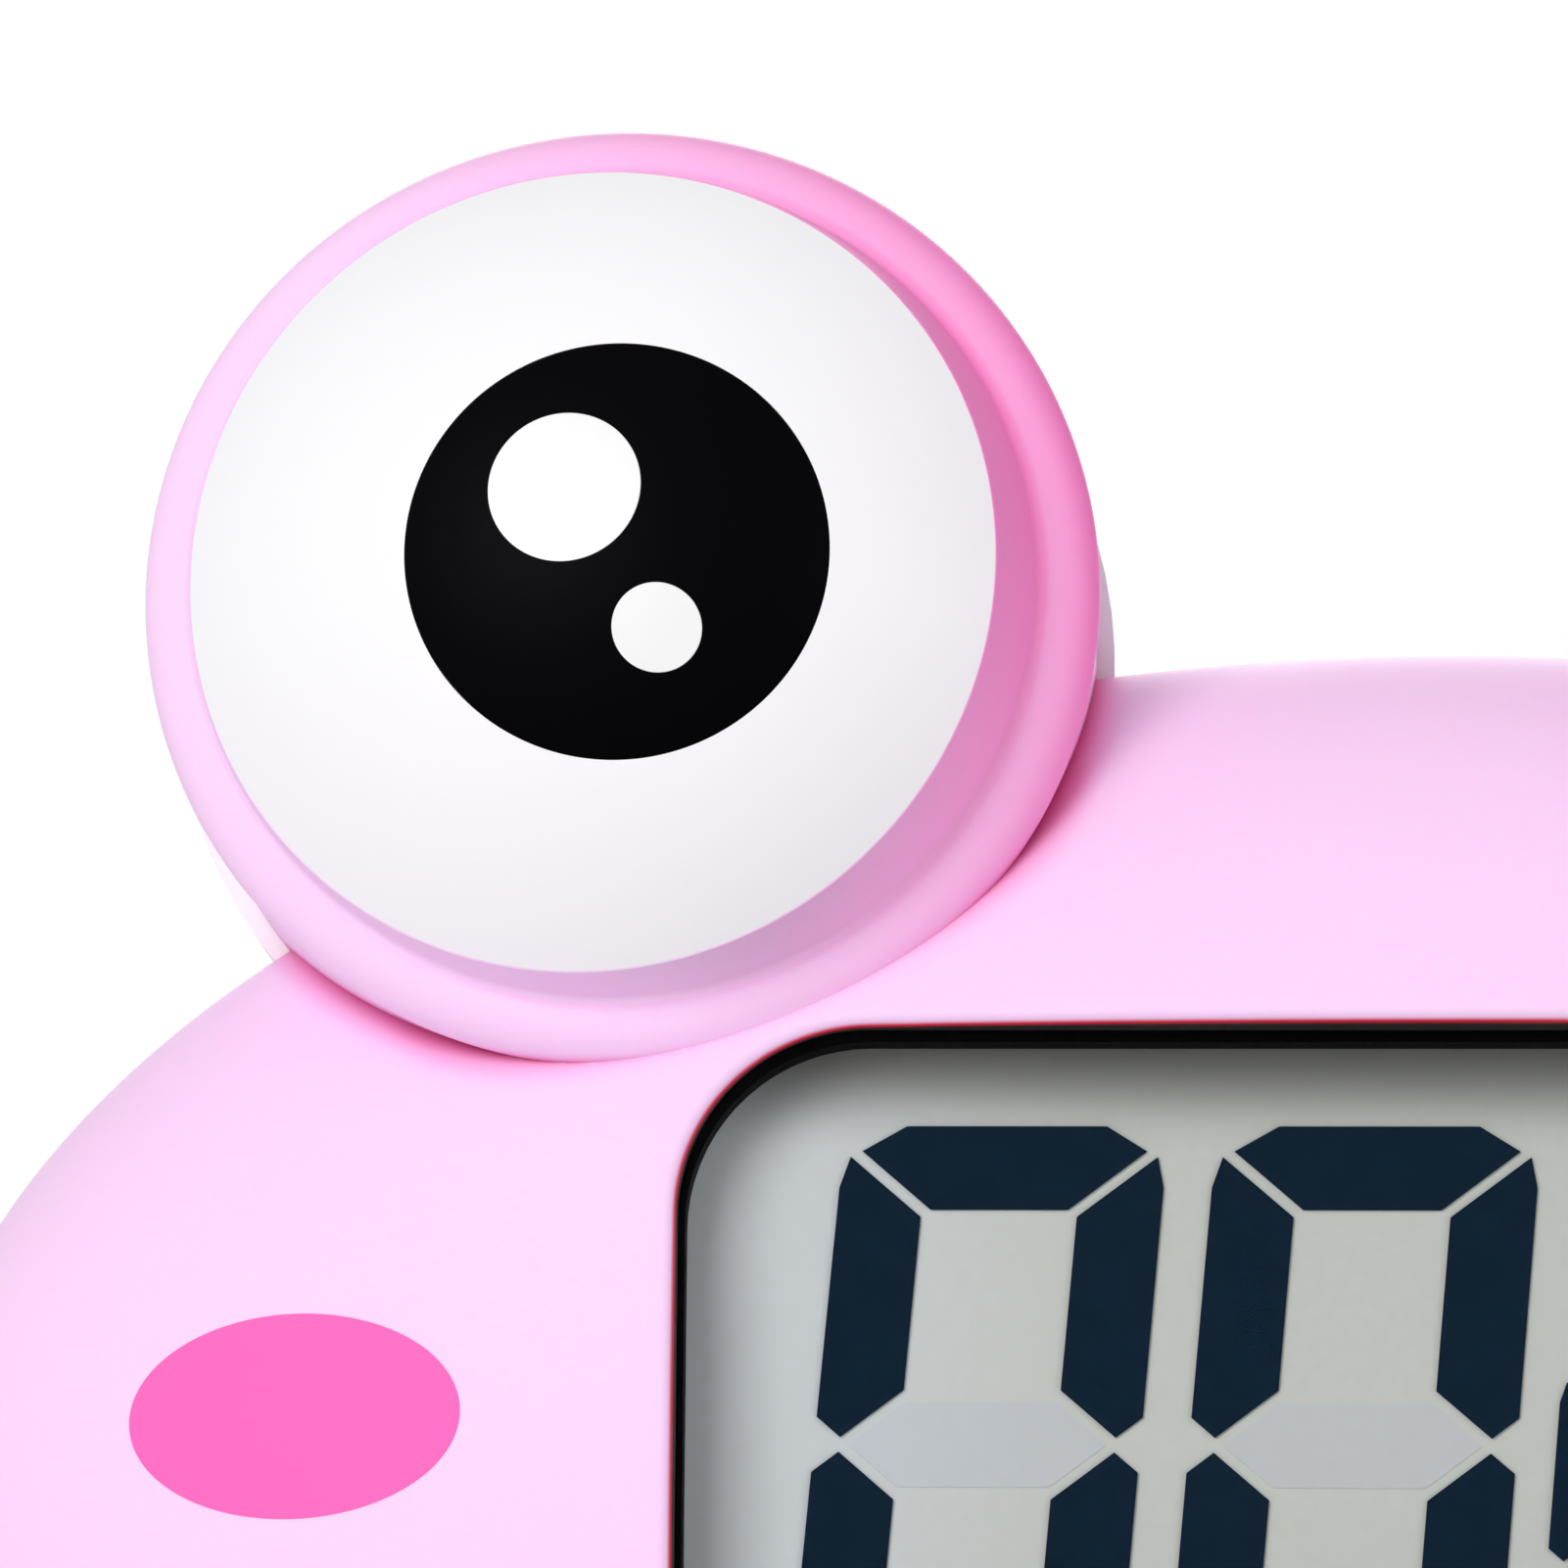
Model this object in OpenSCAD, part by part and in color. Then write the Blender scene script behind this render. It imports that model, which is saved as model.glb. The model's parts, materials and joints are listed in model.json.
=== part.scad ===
// Frog-faced digital countdown timer, in millimetres, standing on its flat base.
// Every piece is drawn in a face frame: x to the right, y up from the middle of the oval body and
// z forward from the plane where the two case halves meet. stand_up() turns that frame upright.

/* [Body] */
// Width of the oval body
body_w = 80; // [74:0.5:90]
// Height of the whole oval, before its foot is cut flat
body_h = 45; // [43:0.5:50]
// Depth of the front half, from the parting plane to its foremost face
front_depth = 10.8; // [10.4:0.1:12]
// Half height of the flat in the middle of the front, inside its long round edge
front_flat = 7; // [5:0.5:9]
// Radius of the round edge of the back
rear_edge_r = 5; // [3.5:0.25:6]
// Wall thickness of the two case halves
wall = 1.8; // [1.5:0.1:2.2]
// Depth of the flat cut that the timer stands on
base_cut = 1; // [0.6:0.1:1.3]
// Height of the tabs that line up the case halves
tab_h = 1; // [0.6:0.1:1.4]
// Thickness of those tabs
tab_t = 0.8; // [0.6:0.1:1.2]
// Width of those tabs
tab_w = 4; // [3:0.1:5]

/* [Eyes] */
// Distance between the two eye axes
eye_spacing = 42.24; // [41:0.01:44]
// Height of the eye axes above the middle of the body
eye_up = 22.44; // [22:0.01:25]
// Outside diameter of the round bead at the front of an eye cup
eye_d = 24.14; // [24:0.01:25]
// Place of the bead's middle, forward of the parting plane
eye_forward = 8.43; // [8:0.01:8.8]
// Radius of the bead's round section
bead_r = 1.25; // [1.1:0.01:1.4]
// Step from the bead down to the cup's side
bead_step = 0.1; // [0.05:0.05:0.2]
// Wall thickness of an eye cup
eye_wall = 1.6; // [1.3:0.1:1.8]
// Depth of the eye's back behind the parting plane
eye_back = 8.5; // [6:0.1:10]
// Diameter of the eye's back
eye_back_d = 24.9; // [24.6:0.1:25.6]
// Radius of the round edge at the eye's back
eye_back_edge_r = 3; // [2:0.1:4]
// Outward lean of the collar and the white dome, in degrees
eye_lean = 7; // [0:0.5:8]
// Place of the point about which they lean, forward of the parting plane
eye_pivot = 6.5; // [6:0.1:6.9]
// Height of the collar's top above that point
collar_reach = 4.94; // [4.7:0.01:5.3]
// Diameter of the collar's top, which the white dome covers
collar_top_d = 20.46; // [20:0.02:20.8]
// Flare of the collar towards its foot, in degrees
collar_flare = 10.5; // [8:0.5:13]
// Wall thickness of the collar's top
collar_wall = 0.7; // [0.6:0.05:0.9]
// Bulge of the white dome above its edge
dome_rise = 4; // [3:0.1:5]
// Wall thickness of the white dome
dome_wall = 1.4; // [1.1:0.1:1.8]
// Length of the dome's plug inside the collar
dome_plug_l = 3; // [2:0.1:3.5]

/* [Eye and cheek inlays] */
// Diameter of a pupil
pupil_d = 10.34; // [9:0.02:11]
// Shift of a pupil towards the middle of the face
pupil_shift = 1.28; // [0:0.01:2]
// Drop of a pupil below the eye's axis
pupil_drop = 0.34; // [0:0.02:0.8]
// Diameter of the large white glint
glint_big_d = 3.8; // [3:0.1:4]
// Diameter of the small white glint
glint_small_d = 2.18; // [1.5:0.01:2.4]
// Width of a cheek
cheek_w = 8.5; // [7:0.1:9.4]
// Height of a cheek
cheek_h = 5.1; // [4:0.1:6]
// Distance of a cheek's middle from the middle of the face
cheek_side = 29; // [28:0.1:29.6]
// Height of a cheek's middle above the middle of the body
cheek_up = 1.63; // [0.5:0.1:3]
// Thickness of the pupils, glints and cheeks
inlay_t = 0.3; // [0.2:0.05:0.5]

/* [Display] */
// Width of the display window
window_w = 39; // [37:0.1:39.6]
// Height of the display window
window_h = 19.4; // [19:0.1:20]
// Corner radius of the display window
window_corner_r = 4.7; // [3.5:0.1:5.5]
// Height of the window's middle above the middle of the body
window_up = 1.53; // [1.4:0.05:1.9]
// Thickness of the case's edge in front of the lens, at its thinnest
window_edge_t = 0.5; // [0.4:0.05:0.7]
// Margin of the lens behind the window's edge
lens_margin = 1; // [0.7:0.1:1.2]
// Thickness of the clear lens
lens_t = 1.2; // [0.8:0.1:1.5]
// Thickness of the black gasket behind the lens
gasket_t = 1; // [0.6:0.1:1.4]
// Width of the black border that shows inside the window
border_w = 0.1; // [0.1:0.05:0.8]
// Thickness of the liquid crystal panel
lcd_t = 1.8; // [1.4:0.1:2.2]
// Height of the rubber contact strips behind the panel
strip_h = 3.4; // [3:0.1:4]
// Width of a rubber contact strip
strip_w = 1.5; // [1.2:0.1:1.8]
// Wall of the frame behind the panel
lcd_frame_wall = 1.2; // [0.8:0.1:1.5]
// Thickness of the case's rib around the display
lcd_rib_t = 1; // [0.8:0.1:1.1]

/* [Digits] */
// Height of the minute digits
digit_h = 15.96; // [14:0.02:16.5]
// Width of a minute digit, without its slant
digit_w = 8.1; // [7:0.05:8.4]
// Distance between the two minute digits
digit_pitch = 9.3; // [9.1:0.05:9.6]
// Left margin of the first digit in the window
digit_margin = 3.31; // [2.5:0.05:3.8]
// Drop of the digits below the window's middle
digit_drop = 0.36; // [0:0.02:0.6]
// Width of a segment's stroke
stroke = 2.1; // [1.6:0.05:2.3]
// Gap between neighbouring segments
stroke_gap = 0.29; // [0.25:0.01:0.4]
// Rise of the slanting cuts between segments, for each millimetre across
cut_slope = 0.8; // [0.6:0.05:1]
// Depth of a segment's tip behind its outer edge
tip_in = 0.63; // [0.4:0.01:0.8]
// Reach of the bevel at a digit's outer corners
corner_run = 1.55; // [1.2:0.05:1.8]
// Slant of the digits, in degrees
slant = 5.3; // [0:0.1:8]
// Size of the second digits as a share of the minute digits
second_share = 0.63; // [0.5:0.01:0.66]
// Distance between the minute digits and the first second digit
second_step = 7.3; // [7.2:0.1:8]
// Thickness of a segment's mark on the panel
segment_t = 0.1; // [0.06:0.02:0.2]

/* [Buttons] */
// Width of a button
key_w = 9.6; // [8:0.1:10]
// Height of a button
key_h = 5.6; // [5:0.1:6]
// Distance between neighbouring buttons
key_pitch = 12.5; // [12.3:0.1:13]
// Height of the buttons' middles above the bottom of the oval
key_up = 8.9; // [8.6:0.05:9.1]
// How far a button stands out of the case at its middle
key_proud = 0.9; // [0.6:0.05:1.5]
// Radius of a button's round edge
key_fillet = 0.7; // [0.4:0.05:0.9]
// Margin of the flange that keeps a button in the case
key_flange = 0.6; // [0.5:0.05:0.7]
// Thickness of that flange
key_flange_t = 0.8; // [0.6:0.05:1]
// Distance that a button travels
key_travel = 0.8; // [0.5:0.05:1]
// Wall of the guide collar around a button
key_collar = 1; // [0.8:0.05:1.1]
// Diameter of the rubber plunger under a button
plunger_d = 4; // [3:0.1:4.4]
// Thickness of the rubber key mat
mat_t = 0.8; // [0.6:0.05:1]

/* [Board] */
// Thickness of the circuit board
board_t = 1.2; // [1:0.1:1.6]
// Space between the board and the battery bay
board_gap = 0.6; // [0.4:0.05:1]
// Diameter of the buzzer
buzzer_d = 9; // [8:0.1:10]
// Height of the buzzer
buzzer_h = 5.5; // [4:0.1:7]
// Distance of the buzzer's middle from the board's side
buzzer_inset = 10.8; // [10.4:0.1:11.2]
// Distance of the buzzer's middle below the middle of the body
buzzer_down = 7.4; // [7:0.1:7.6]
// Diameter of a sound hole
sound_hole_d = 1.3; // [0.8:0.1:1.6]
// Diameter of the resin drop over the chip
blob_d = 8; // [6:0.1:9]
// Height of that resin drop
blob_h = 1.6; // [1:0.1:2]

/* [Battery] */
// Diameter of the round cell
cell_d = 10.5; // [10:0.05:11]
// Length of the round cell with its nub
cell_l = 44.5; // [43:0.1:46]
// Height of the cell's axis above the middle of the body
cell_up = 6; // [5.8:0.1:6.4]
// Length of the coil spring
spring_l = 4.7; // [4.2:0.1:5.5]
// Diameter of the spring's wire
spring_wire_d = 0.5; // [0.4:0.05:0.6]
// Thickness of the contact plates
contact_t = 0.4; // [0.3:0.05:0.5]
// Wall of the battery bay
bay_wall = 1.2; // [1:0.1:1.4]
// Thickness of the battery door
door_t = 1.4; // [1.2:0.1:1.7]
// Margin of the door around the battery bay
door_margin = 0.9; // [0.7:0.05:1.1]
// Corner radius of the door
door_corner_r = 3.5; // [2:0.1:4]

/* [Stand] */
// Width of the folding stand
stand_w = 22; // [18:0.2:22.6]
// Thickness of the folding stand
stand_t = 2.6; // [2.2:0.1:2.8]
// Diameter of the stand's hinge barrel
stand_barrel_d = 3; // [2.8:0.1:3.4]
// Diameter of the stand's hinge pins
stand_pin_d = 2; // [1.6:0.1:2.2]
// Length of a hinge pin
stand_pin_l = 1.3; // [1:0.1:1.6]
// Distance of the hinge below the middle of the body
stand_down = 5.2; // [5:0.1:5.5]
// Height of the stand's lower end above the bottom of the oval
stand_clear = 3.2; // [2.8:0.1:4]
// Diameter of the stand's disc magnet
magnet_d = 10; // [8:0.1:10.4]
// Thickness of the stand's disc magnet
magnet_t = 1.6; // [1.2:0.1:1.7]

/* [Screws] */
// Diameter of a case screw's shank
case_screw_d = 2.2; // [1.8:0.05:2.4]
// Diameter of a case screw's head
case_head_d = 4.2; // [3.8:0.05:4.4]
// Height of a case screw's head
case_head_h = 1.5; // [1.2:0.05:1.8]
// Depth of a case screw in the front half
case_grip = 3.6; // [3:0.1:4]
// Distance of the upper case screws from the body's sides
case_screw_inset = 9; // [8.8:0.1:9.4]
// Height of the upper case screws above the middle of the body
case_screw_up = 5; // [4:0.1:5.6]
// Distance of the lower case screws from the middle of the face
low_screw_side = 22.4; // [22.2:0.1:22.8]
// Height of the lower case screws above the bottom of the oval
low_screw_up = 9; // [8.8:0.1:9.4]
// Outside diameter of the screw bosses in the front half
boss_d = 5.2; // [4.8:0.1:5.4]
// Diameter of a board screw's shank
board_screw_d = 1.6; // [1.3:0.05:1.8]
// Diameter of a board screw's head
board_head_d = 3; // [2.6:0.05:3.2]
// Height of a board screw's head
board_head_h = 1; // [0.7:0.05:1.2]
// Depth of a board screw in its boss
board_grip = 3; // [2:0.1:3.4]
// Outside diameter of the board's bosses
board_boss_d = 4; // [3.6:0.1:4.2]

/* [Clearances] */
// Gap between pieces that are pushed together by hand
fit_gap = 0.15; // [0.1:0.01:0.2]
// Gap around pieces that move
move_gap = 0.2; // [0.15:0.01:0.25]
// Radial gap of pins and screws in their holes
pin_gap = 0.05; // [0.03:0.01:0.08]
// Gap around an inlay
inlay_gap = 0.02; // [0.01:0.005:0.04]

/* [Hidden] */

$fn = 72;
// Sides of the large circles, whose arcs are long
fine_fn = 360;
// Overshoot of cuts, and a reach past the whole timer
cut = 1;
far = 60;

half_w = body_w / 2;
half_h = body_h / 2;
base_y = base_cut - half_h;

// The front is a turned profile, stretched sideways: a flat middle and a long elliptic edge.
function turned_r(x, y, inset) = norm([x * (half_h - inset) / (half_w - inset), y]);
function edge_share(r, inset) = max(0, r - front_flat) / (half_h - inset - front_flat);
// Height of the front surface, or of a surface inset from it, over a point of the face
function front_z(x, y, inset) =
    (front_depth - inset) * sqrt(1 - pow(edge_share(turned_r(x, y, inset), inset), 2));
// Derived places are kept to a hundredth, so that arcs and flats meet exactly
function tidy(v) = round(100 * v) / 100;
// Points of an arc from angle a to angle b
function arc(centre, r, a, b, steps) =
    [for (i = [0:steps]) let (t = a + (b - a) * i / steps) centre + r * [cos(t), sin(t)]];

// The display stack, from the window back to the board
lens_w = window_w + 2 * lens_margin;
lens_h = window_h + 2 * lens_margin;
lens_corner_r = window_corner_r + lens_margin;
lens_corner_x = lens_w / 2 - lens_corner_r * (1 - cos(45));
lens_corner_y = window_up + lens_h / 2 - lens_corner_r * (1 - sin(45));
lens_front = tidy(front_z(lens_corner_x, lens_corner_y, 0) - window_edge_t);
lens_back = lens_front - lens_t;
lcd_front = lens_back - gasket_t;
lcd_back = lcd_front - lcd_t;
board_front = lcd_back - strip_h;
board_back = board_front - board_t;
strip_l = lens_w - 2 * lens_corner_r;
strip_y = lens_h / 2 - fit_gap - lcd_frame_wall - strip_w / 2;

// The battery bay, from the board back to the door
bay_front = board_back - board_gap;
bay_floor = bay_front - bay_wall;
cell_z = bay_floor - fit_gap - cell_d / 2;
door_inner = cell_z - cell_d / 2 - fit_gap;
rear_depth = door_t - door_inner;
// The back is moulded this much deeper and then cut plane
back_skim = 0.05;
bay_half_h = cell_d / 2 + 2 * fit_gap;
bay_half_l = (cell_l + spring_l + 2 * contact_t) / 2;
cell_right = bay_half_l - contact_t;
cell_left = cell_right - cell_l;
cell_nub_d = 3.8;
cell_nub_l = 1;
contact_w = 8;
tail_w = 2.5;
door_half_l = bay_half_l + bay_wall + door_margin;
door_half_h = bay_half_h + bay_wall + door_margin;
// Two lugs on the door's upper edge, three finger grooves near its lower edge and two inner ribs
lug_w = 4;
lug_l = 1;
lug_x = door_half_l / 2;
groove_d = 0.8;
groove_l = 8;
groove_step = 1.2;
door_rib_t = 0.8;
door_rib_h = 1.5;
door_rib_l = cell_l - 2 * cell_d;

// Eyes
eye_x = eye_spacing / 2;
eye_r = eye_d / 2;
eye_side_r = eye_r - bead_step;
eye_inner_r = eye_side_r - eye_wall;
eye_back_r = eye_back_d / 2;
bead_ring_r = eye_r - bead_r;
// The bead's section runs from the cup's side over its crest to the deck inside it
bead_start = -acos(1 - bead_step / bead_r);
bead_end = 105;
bead_steps = 24;
deck_z = eye_forward + bead_r * sin(bead_end);
hollow_z = tidy(deck_z - eye_wall);
collar_top_r = collar_top_d / 2;
collar_back = 1;
collar_back_r = tidy(collar_top_r + tan(collar_flare) * (collar_reach - collar_back));
bore_r = collar_top_r - collar_wall;
dome_plug_r = bore_r - pin_gap;
dome_rim_r = collar_top_r - pin_gap;
dome_apex_z = collar_reach + dome_rise;
dome_r = (dome_rim_r * dome_rim_r + dome_rise * dome_rise) / (2 * dome_rise);
dome_centre_z = dome_apex_z - dome_r;
dome_front_z = eye_pivot + dome_centre_z * cos(eye_lean) + dome_r;
// Places of the two glints on a pupil
glint_big_at = [-1.15, 1.43];
glint_small_at = [1.13, -2.08];

// Half the gap between two segments, measured upwards across their slanting cuts
cut_rise = stroke_gap / 2 * sqrt(1 + cut_slope * cut_slope);

// Buttons
key_y = key_up - half_h;
flange_corner_x = key_pitch + (key_w - key_h) / 2 + (key_h / 2 + key_flange) * cos(45);
flange_corner_y = key_y - (key_h / 2 + key_flange) * sin(45);
key_seat = tidy(front_z(flange_corner_x, flange_corner_y, wall) - 2 * move_gap);
key_back = key_seat - key_flange_t;
key_top = tidy(front_z(0, key_y, 0) + key_proud);
// The plunger's tip stops short of the board by this much at full press
key_rest_gap = 0.1;
plunger_tip = board_front + key_travel + key_rest_gap;
mat_front = board_front + mat_t;
skirt_front = key_back - key_travel - move_gap;
skirt_r = plunger_d / 2 + move_gap;
skirt_wall = 0.6;
mat_edge = 0.6;
mat_half_w = key_pitch + key_w / 2;
mat_half_h = skirt_r + skirt_wall + mat_edge;

// Screws
case_spots = [
    for (side = [-1, 1]) [side * (half_w - case_screw_inset), case_screw_up],
    for (side = [-1, 1]) [side * low_screw_side, low_screw_up - half_h]
];
column_wall = 1;
column_d = case_head_d + 2 * move_gap + 2 * column_wall;
case_head_z = -2.4;
board_notch_d = max(boss_d, column_d) + 4 * move_gap;
board_half_w = half_w - case_screw_inset - board_notch_d / 2;
buzzer_x = board_half_w - buzzer_inset;
board_spots = [
    [0, window_up + lens_h / 2 + lcd_rib_t + board_boss_d / 2 + move_gap],
    [-(board_half_w - board_boss_d), cell_up - bay_half_h - bay_wall - board_head_d],
    [board_half_w - board_boss_d, cell_up - bay_half_h - bay_wall - board_head_d]
];
board_inset = wall + fit_gap + tab_t + 2 * move_gap;

// Stand
stand_r = stand_barrel_d / 2;
stand_skin = 0.1;
stand_axis_z = stand_skin + stand_r - rear_depth;
stand_end_y = stand_clear - half_h;
recess_floor = stand_axis_z + stand_r + move_gap;
recess_half_w = stand_w / 2 + move_gap;
recess_top = stand_r + move_gap - stand_down;
recess_wall = 1.4;
magnet_y = (stand_end_y - stand_down - stand_r) / 2;

// Distance from the parting plane to the middle of the whole timer's depth
depth_shift = (dome_front_z - rear_depth) / 2;

pink = [0.99, 0.84, 0.97];
hot_pink = [0.99, 0.43, 0.76];
white = [0.96, 0.95, 0.97];
ink = [0.08, 0.14, 0.2];
black = [0.05, 0.05, 0.06];
steel = [0.72, 0.73, 0.75];

// Turns the face frame upright, with the middle of the depth over the origin
module stand_up() {
    translate([0, depth_shift, -base_y]) rotate([90, 0, 0]) children();
}

// Four quarter turns of a profile, stretched sideways into an oval and, if wanted, in depth
module oval_turn(hw, hh, deepen = 1) {
    scale([hw / hh, 1, deepen])
        for (quarter = [0:3])
            rotate([0, 0, 90 * quarter])
                rotate_extrude(angle = 90) children();
}

module rear_profile(hh, depth, edge) {
    square([hh - edge, depth]);
    square([hh, depth - edge]);
    translate([hh - edge, depth - edge]) circle(edge);
}

module front_solid(inset) {
    edge = half_h - inset - front_flat;
    oval_turn(half_w - inset, half_h - inset, (front_depth - inset) / edge) {
        square([front_flat, edge]);
        translate([front_flat, 0]) intersection() {
            circle(edge, $fn = fine_fn);
            square(edge);
        }
    }
}

module rear_solid(inset) {
    mirror([0, 0, 1])
        oval_turn(half_w - inset, half_h - inset)
            rear_profile(half_h - inset, rear_depth + back_skim - inset, rear_edge_r - inset);
}

module at_eye(side) {
    translate([side * eye_x, eye_up, 0]) children();
}

module at_eyes() {
    for (side = [-1, 1]) at_eye(side) children();
}

// Leans a piece outwards about the pivot on an eye's axis
module at_dome(side) {
    at_eye(side) translate([0, 0, eye_pivot]) rotate([0, side * eye_lean, 0]) children();
}

module at_domes() {
    for (side = [-1, 1]) at_dome(side) children();
}

module rounded_rect(w, h, r) {
    square([w - 2 * r, h], center = true);
    square([w, h - 2 * r], center = true);
    for (x = [-1, 1], y = [-1, 1])
        translate([x * (w / 2 - r), y * (h / 2 - r)]) circle(r);
}

module slab(w, h, r, z0, z1) {
    translate([0, 0, z0]) linear_extrude(z1 - z0) rounded_rect(w, h, r);
}

module pill(w, h, z0, z1) {
    translate([0, 0, z0]) linear_extrude(z1 - z0) {
        square([w - h, h], center = true);
        for (side = [-1, 1]) translate([side * (w - h) / 2, 0]) circle(h / 2);
    }
}

// A plate of the lens's outline, let into its pocket with the fit gap
module display_plate(z0, z1) {
    translate([0, window_up, 0])
        slab(lens_w - 2 * fit_gap, lens_h - 2 * fit_gap, lens_corner_r - fit_gap, z0, z1);
}

module below_base() {
    translate([-far, base_y - far, -far]) cube([2 * far, far, 2 * far]);
}

module behind_back() {
    translate([-far, -far, -rear_depth - far]) cube([2 * far, 2 * far, far]);
}

// Eye cup, from the parting plane over its bead to the deck inside it, without its hollow
module eye_cup() {
    inner_r = bore_r / 2;
    rotate_extrude() polygon(concat(
        [[inner_r, 0], [eye_side_r, 0]],
        arc([bead_ring_r, eye_forward], bead_r, bead_start, bead_end, bead_steps),
        [[inner_r, deck_z]]
    ));
}

module eye_hollow() {
    translate([0, 0, -eye_r]) cylinder(r = eye_inner_r, h = hollow_z + eye_r);
}

// Collar that rises from the deck, and the bore for the dome's plug
module eye_collar() {
    translate([0, 0, collar_back])
        cylinder(r1 = collar_back_r, r2 = collar_top_r, h = collar_reach - collar_back);
}

module eye_bore() {
    translate([0, 0, -eye_pivot]) cylinder(r = bore_r, h = far);
}

module eye_rear(inset) {
    mirror([0, 0, 1]) rotate_extrude()
        rear_profile(eye_back_r - inset, eye_back - inset, eye_back_edge_r - inset);
}

module at_keys() {
    for (column = [-1:1]) translate([column * key_pitch, key_y, 0]) children();
}

module cheek_prism(side, gap) {
    translate([side * cheek_side, cheek_up, 0]) linear_extrude(far)
        scale([(cheek_w + 2 * gap) / (cheek_h + 2 * gap), 1]) circle(d = cheek_h + 2 * gap);
}

// What stands inside the front half: display rib, key collars and screw bosses
module front_inside() {
    translate([0, window_up, 0])
        slab(lens_w + 2 * lcd_rib_t, lens_h + 2 * lcd_rib_t, lens_corner_r + lcd_rib_t, lcd_back, far);
    at_keys() pill(
        key_w + 2 * (move_gap + key_collar), key_h + 2 * (move_gap + key_collar), key_seat, far
    );
    for (spot = case_spots) translate(spot) cylinder(d = boss_d, h = far);
    for (spot = board_spots)
        translate([spot[0], spot[1], board_front]) cylinder(d = board_boss_d, h = far);
}

module front_shell() {
    color(pink) stand_up() difference() {
        union() {
            difference() {
                union() {
                    front_solid(0);
                    at_eyes() eye_cup();
                    at_domes() eye_collar();
                }
                front_solid(wall);
            }
            intersection() {
                front_solid(wall / 2);
                front_inside();
            }
        }
        at_eyes() eye_hollow();
        at_domes() eye_bore();
        translate([0, window_up, 0]) {
            slab(window_w, window_h, window_corner_r, 0, far);
            slab(lens_w, lens_h, lens_corner_r, -cut, lens_front);
        }
        at_keys() pill(key_w + 2 * move_gap, key_h + 2 * move_gap, -cut, far);
        for (spot = case_spots)
            translate([spot[0], spot[1], -cut])
                cylinder(d = case_screw_d + 2 * pin_gap, h = case_grip + fit_gap + cut);
        for (spot = board_spots)
            translate([spot[0], spot[1], -cut])
                cylinder(d = board_screw_d + 2 * pin_gap, h = board_front + board_grip + fit_gap + cut);
        for (side = [-1, 1])
            difference() {
                cheek_prism(side, inlay_gap);
                front_solid(inlay_t + inlay_gap);
            }
        below_base();
    }
}

// One tab of the rear half, at the end of a half axis of the oval, behind the front half's wall
module tab(reach, across) {
    face = (reach - wall - fit_gap) * sqrt(1 - pow(tab_w / 2 / (across - wall - fit_gap), 2));
    translate([face - tab_t, -tab_w / 2, -3 * tab_h]) {
        cube([tab_t, tab_w, 4 * tab_h]);
        cube([reach - wall / 2 - face + tab_t, tab_w, 3 * tab_h]);
    }
}

module tabs() {
    for (turn = [0, 180]) {
        rotate([0, 0, turn]) tab(half_w, half_h);
        rotate([0, 0, turn + 90]) tab(half_h, half_w);
    }
}

module bay_box(grow, z0, z1) {
    translate([-(bay_half_l + grow), cell_up - bay_half_h - grow, z0])
        cube([2 * (bay_half_l + grow), 2 * (bay_half_h + grow), z1 - z0]);
}

// The door's outline with its two lugs, as a plate between two heights
module door_plate(gap, z0, z1) {
    translate([0, cell_up, 0])
        slab(2 * (door_half_l + gap), 2 * (door_half_h + gap), door_corner_r + gap, z0, z1);
    for (side = [-1, 1])
        translate([side * lug_x - lug_w / 2 - gap, cell_up, z0])
            cube([lug_w + 2 * gap, door_half_h + lug_l + gap, z1 - z0]);
}

module stand_box(grow, z0, z1) {
    translate([-(recess_half_w + grow), base_y, z0])
        cube([2 * (recess_half_w + grow), recess_top + grow - base_y, z1 - z0]);
}

module stand_axis(d, half_l) {
    translate([-half_l, -stand_down, stand_axis_z]) rotate([0, 90, 0]) cylinder(d = d, h = 2 * half_l);
}

module sound_holes() {
    ring_r = buzzer_d / 4;
    translate([buzzer_x, -buzzer_down, -far]) {
        cylinder(d = sound_hole_d, h = far);
        for (turn = [0:60:300])
            rotate([0, 0, turn]) translate([ring_r, 0, 0]) cylinder(d = sound_hole_d, h = far);
    }
}

module rear_cover() {
    color(white) stand_up() difference() {
        union() {
            difference() {
                union() {
                    rear_solid(0);
                    at_eyes() eye_rear(0);
                }
                rear_solid(wall);
                at_eyes() eye_rear(eye_wall);
            }
            tabs();
            intersection() {
                rear_solid(wall / 2);
                union() {
                    bay_box(bay_wall, -far, bay_front);
                    translate([0, cell_up, 0]) slab(
                        2 * (door_half_l + bay_wall), 2 * (door_half_h + bay_wall),
                        door_corner_r, -far, door_inner + bay_wall
                    );
                    stand_box(recess_wall, -far, recess_floor + recess_wall);
                    for (spot = case_spots)
                        translate([spot[0], spot[1], -far]) cylinder(d = column_d, h = far);
                }
            }
        }
        bay_box(0, -far, bay_floor);
        door_plate(fit_gap, -far, door_inner);
        for (side = [-1, 1])
            translate([side * (bay_half_l - contact_t / 2), cell_up, bay_floor])
                cube([contact_t + 2 * fit_gap, tail_w + 2 * fit_gap, 4 * bay_wall], center = true);
        stand_box(0, -far, recess_floor);
        stand_axis(stand_pin_d + 2 * pin_gap, recess_half_w + stand_pin_l);
        sound_holes();
        for (spot = case_spots) translate([spot[0], spot[1], 0]) {
            translate([0, 0, -far]) cylinder(d = case_screw_d + 2 * pin_gap, h = 2 * far);
            translate([0, 0, -far]) cylinder(d = case_head_d + 2 * move_gap, h = far + case_head_z);
        }
        below_base();
        behind_back();
    }
}

module dome_ball(inset) {
    translate([0, 0, dome_centre_z]) sphere(r = dome_r - inset, $fn = fine_fn / 2);
}

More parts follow.
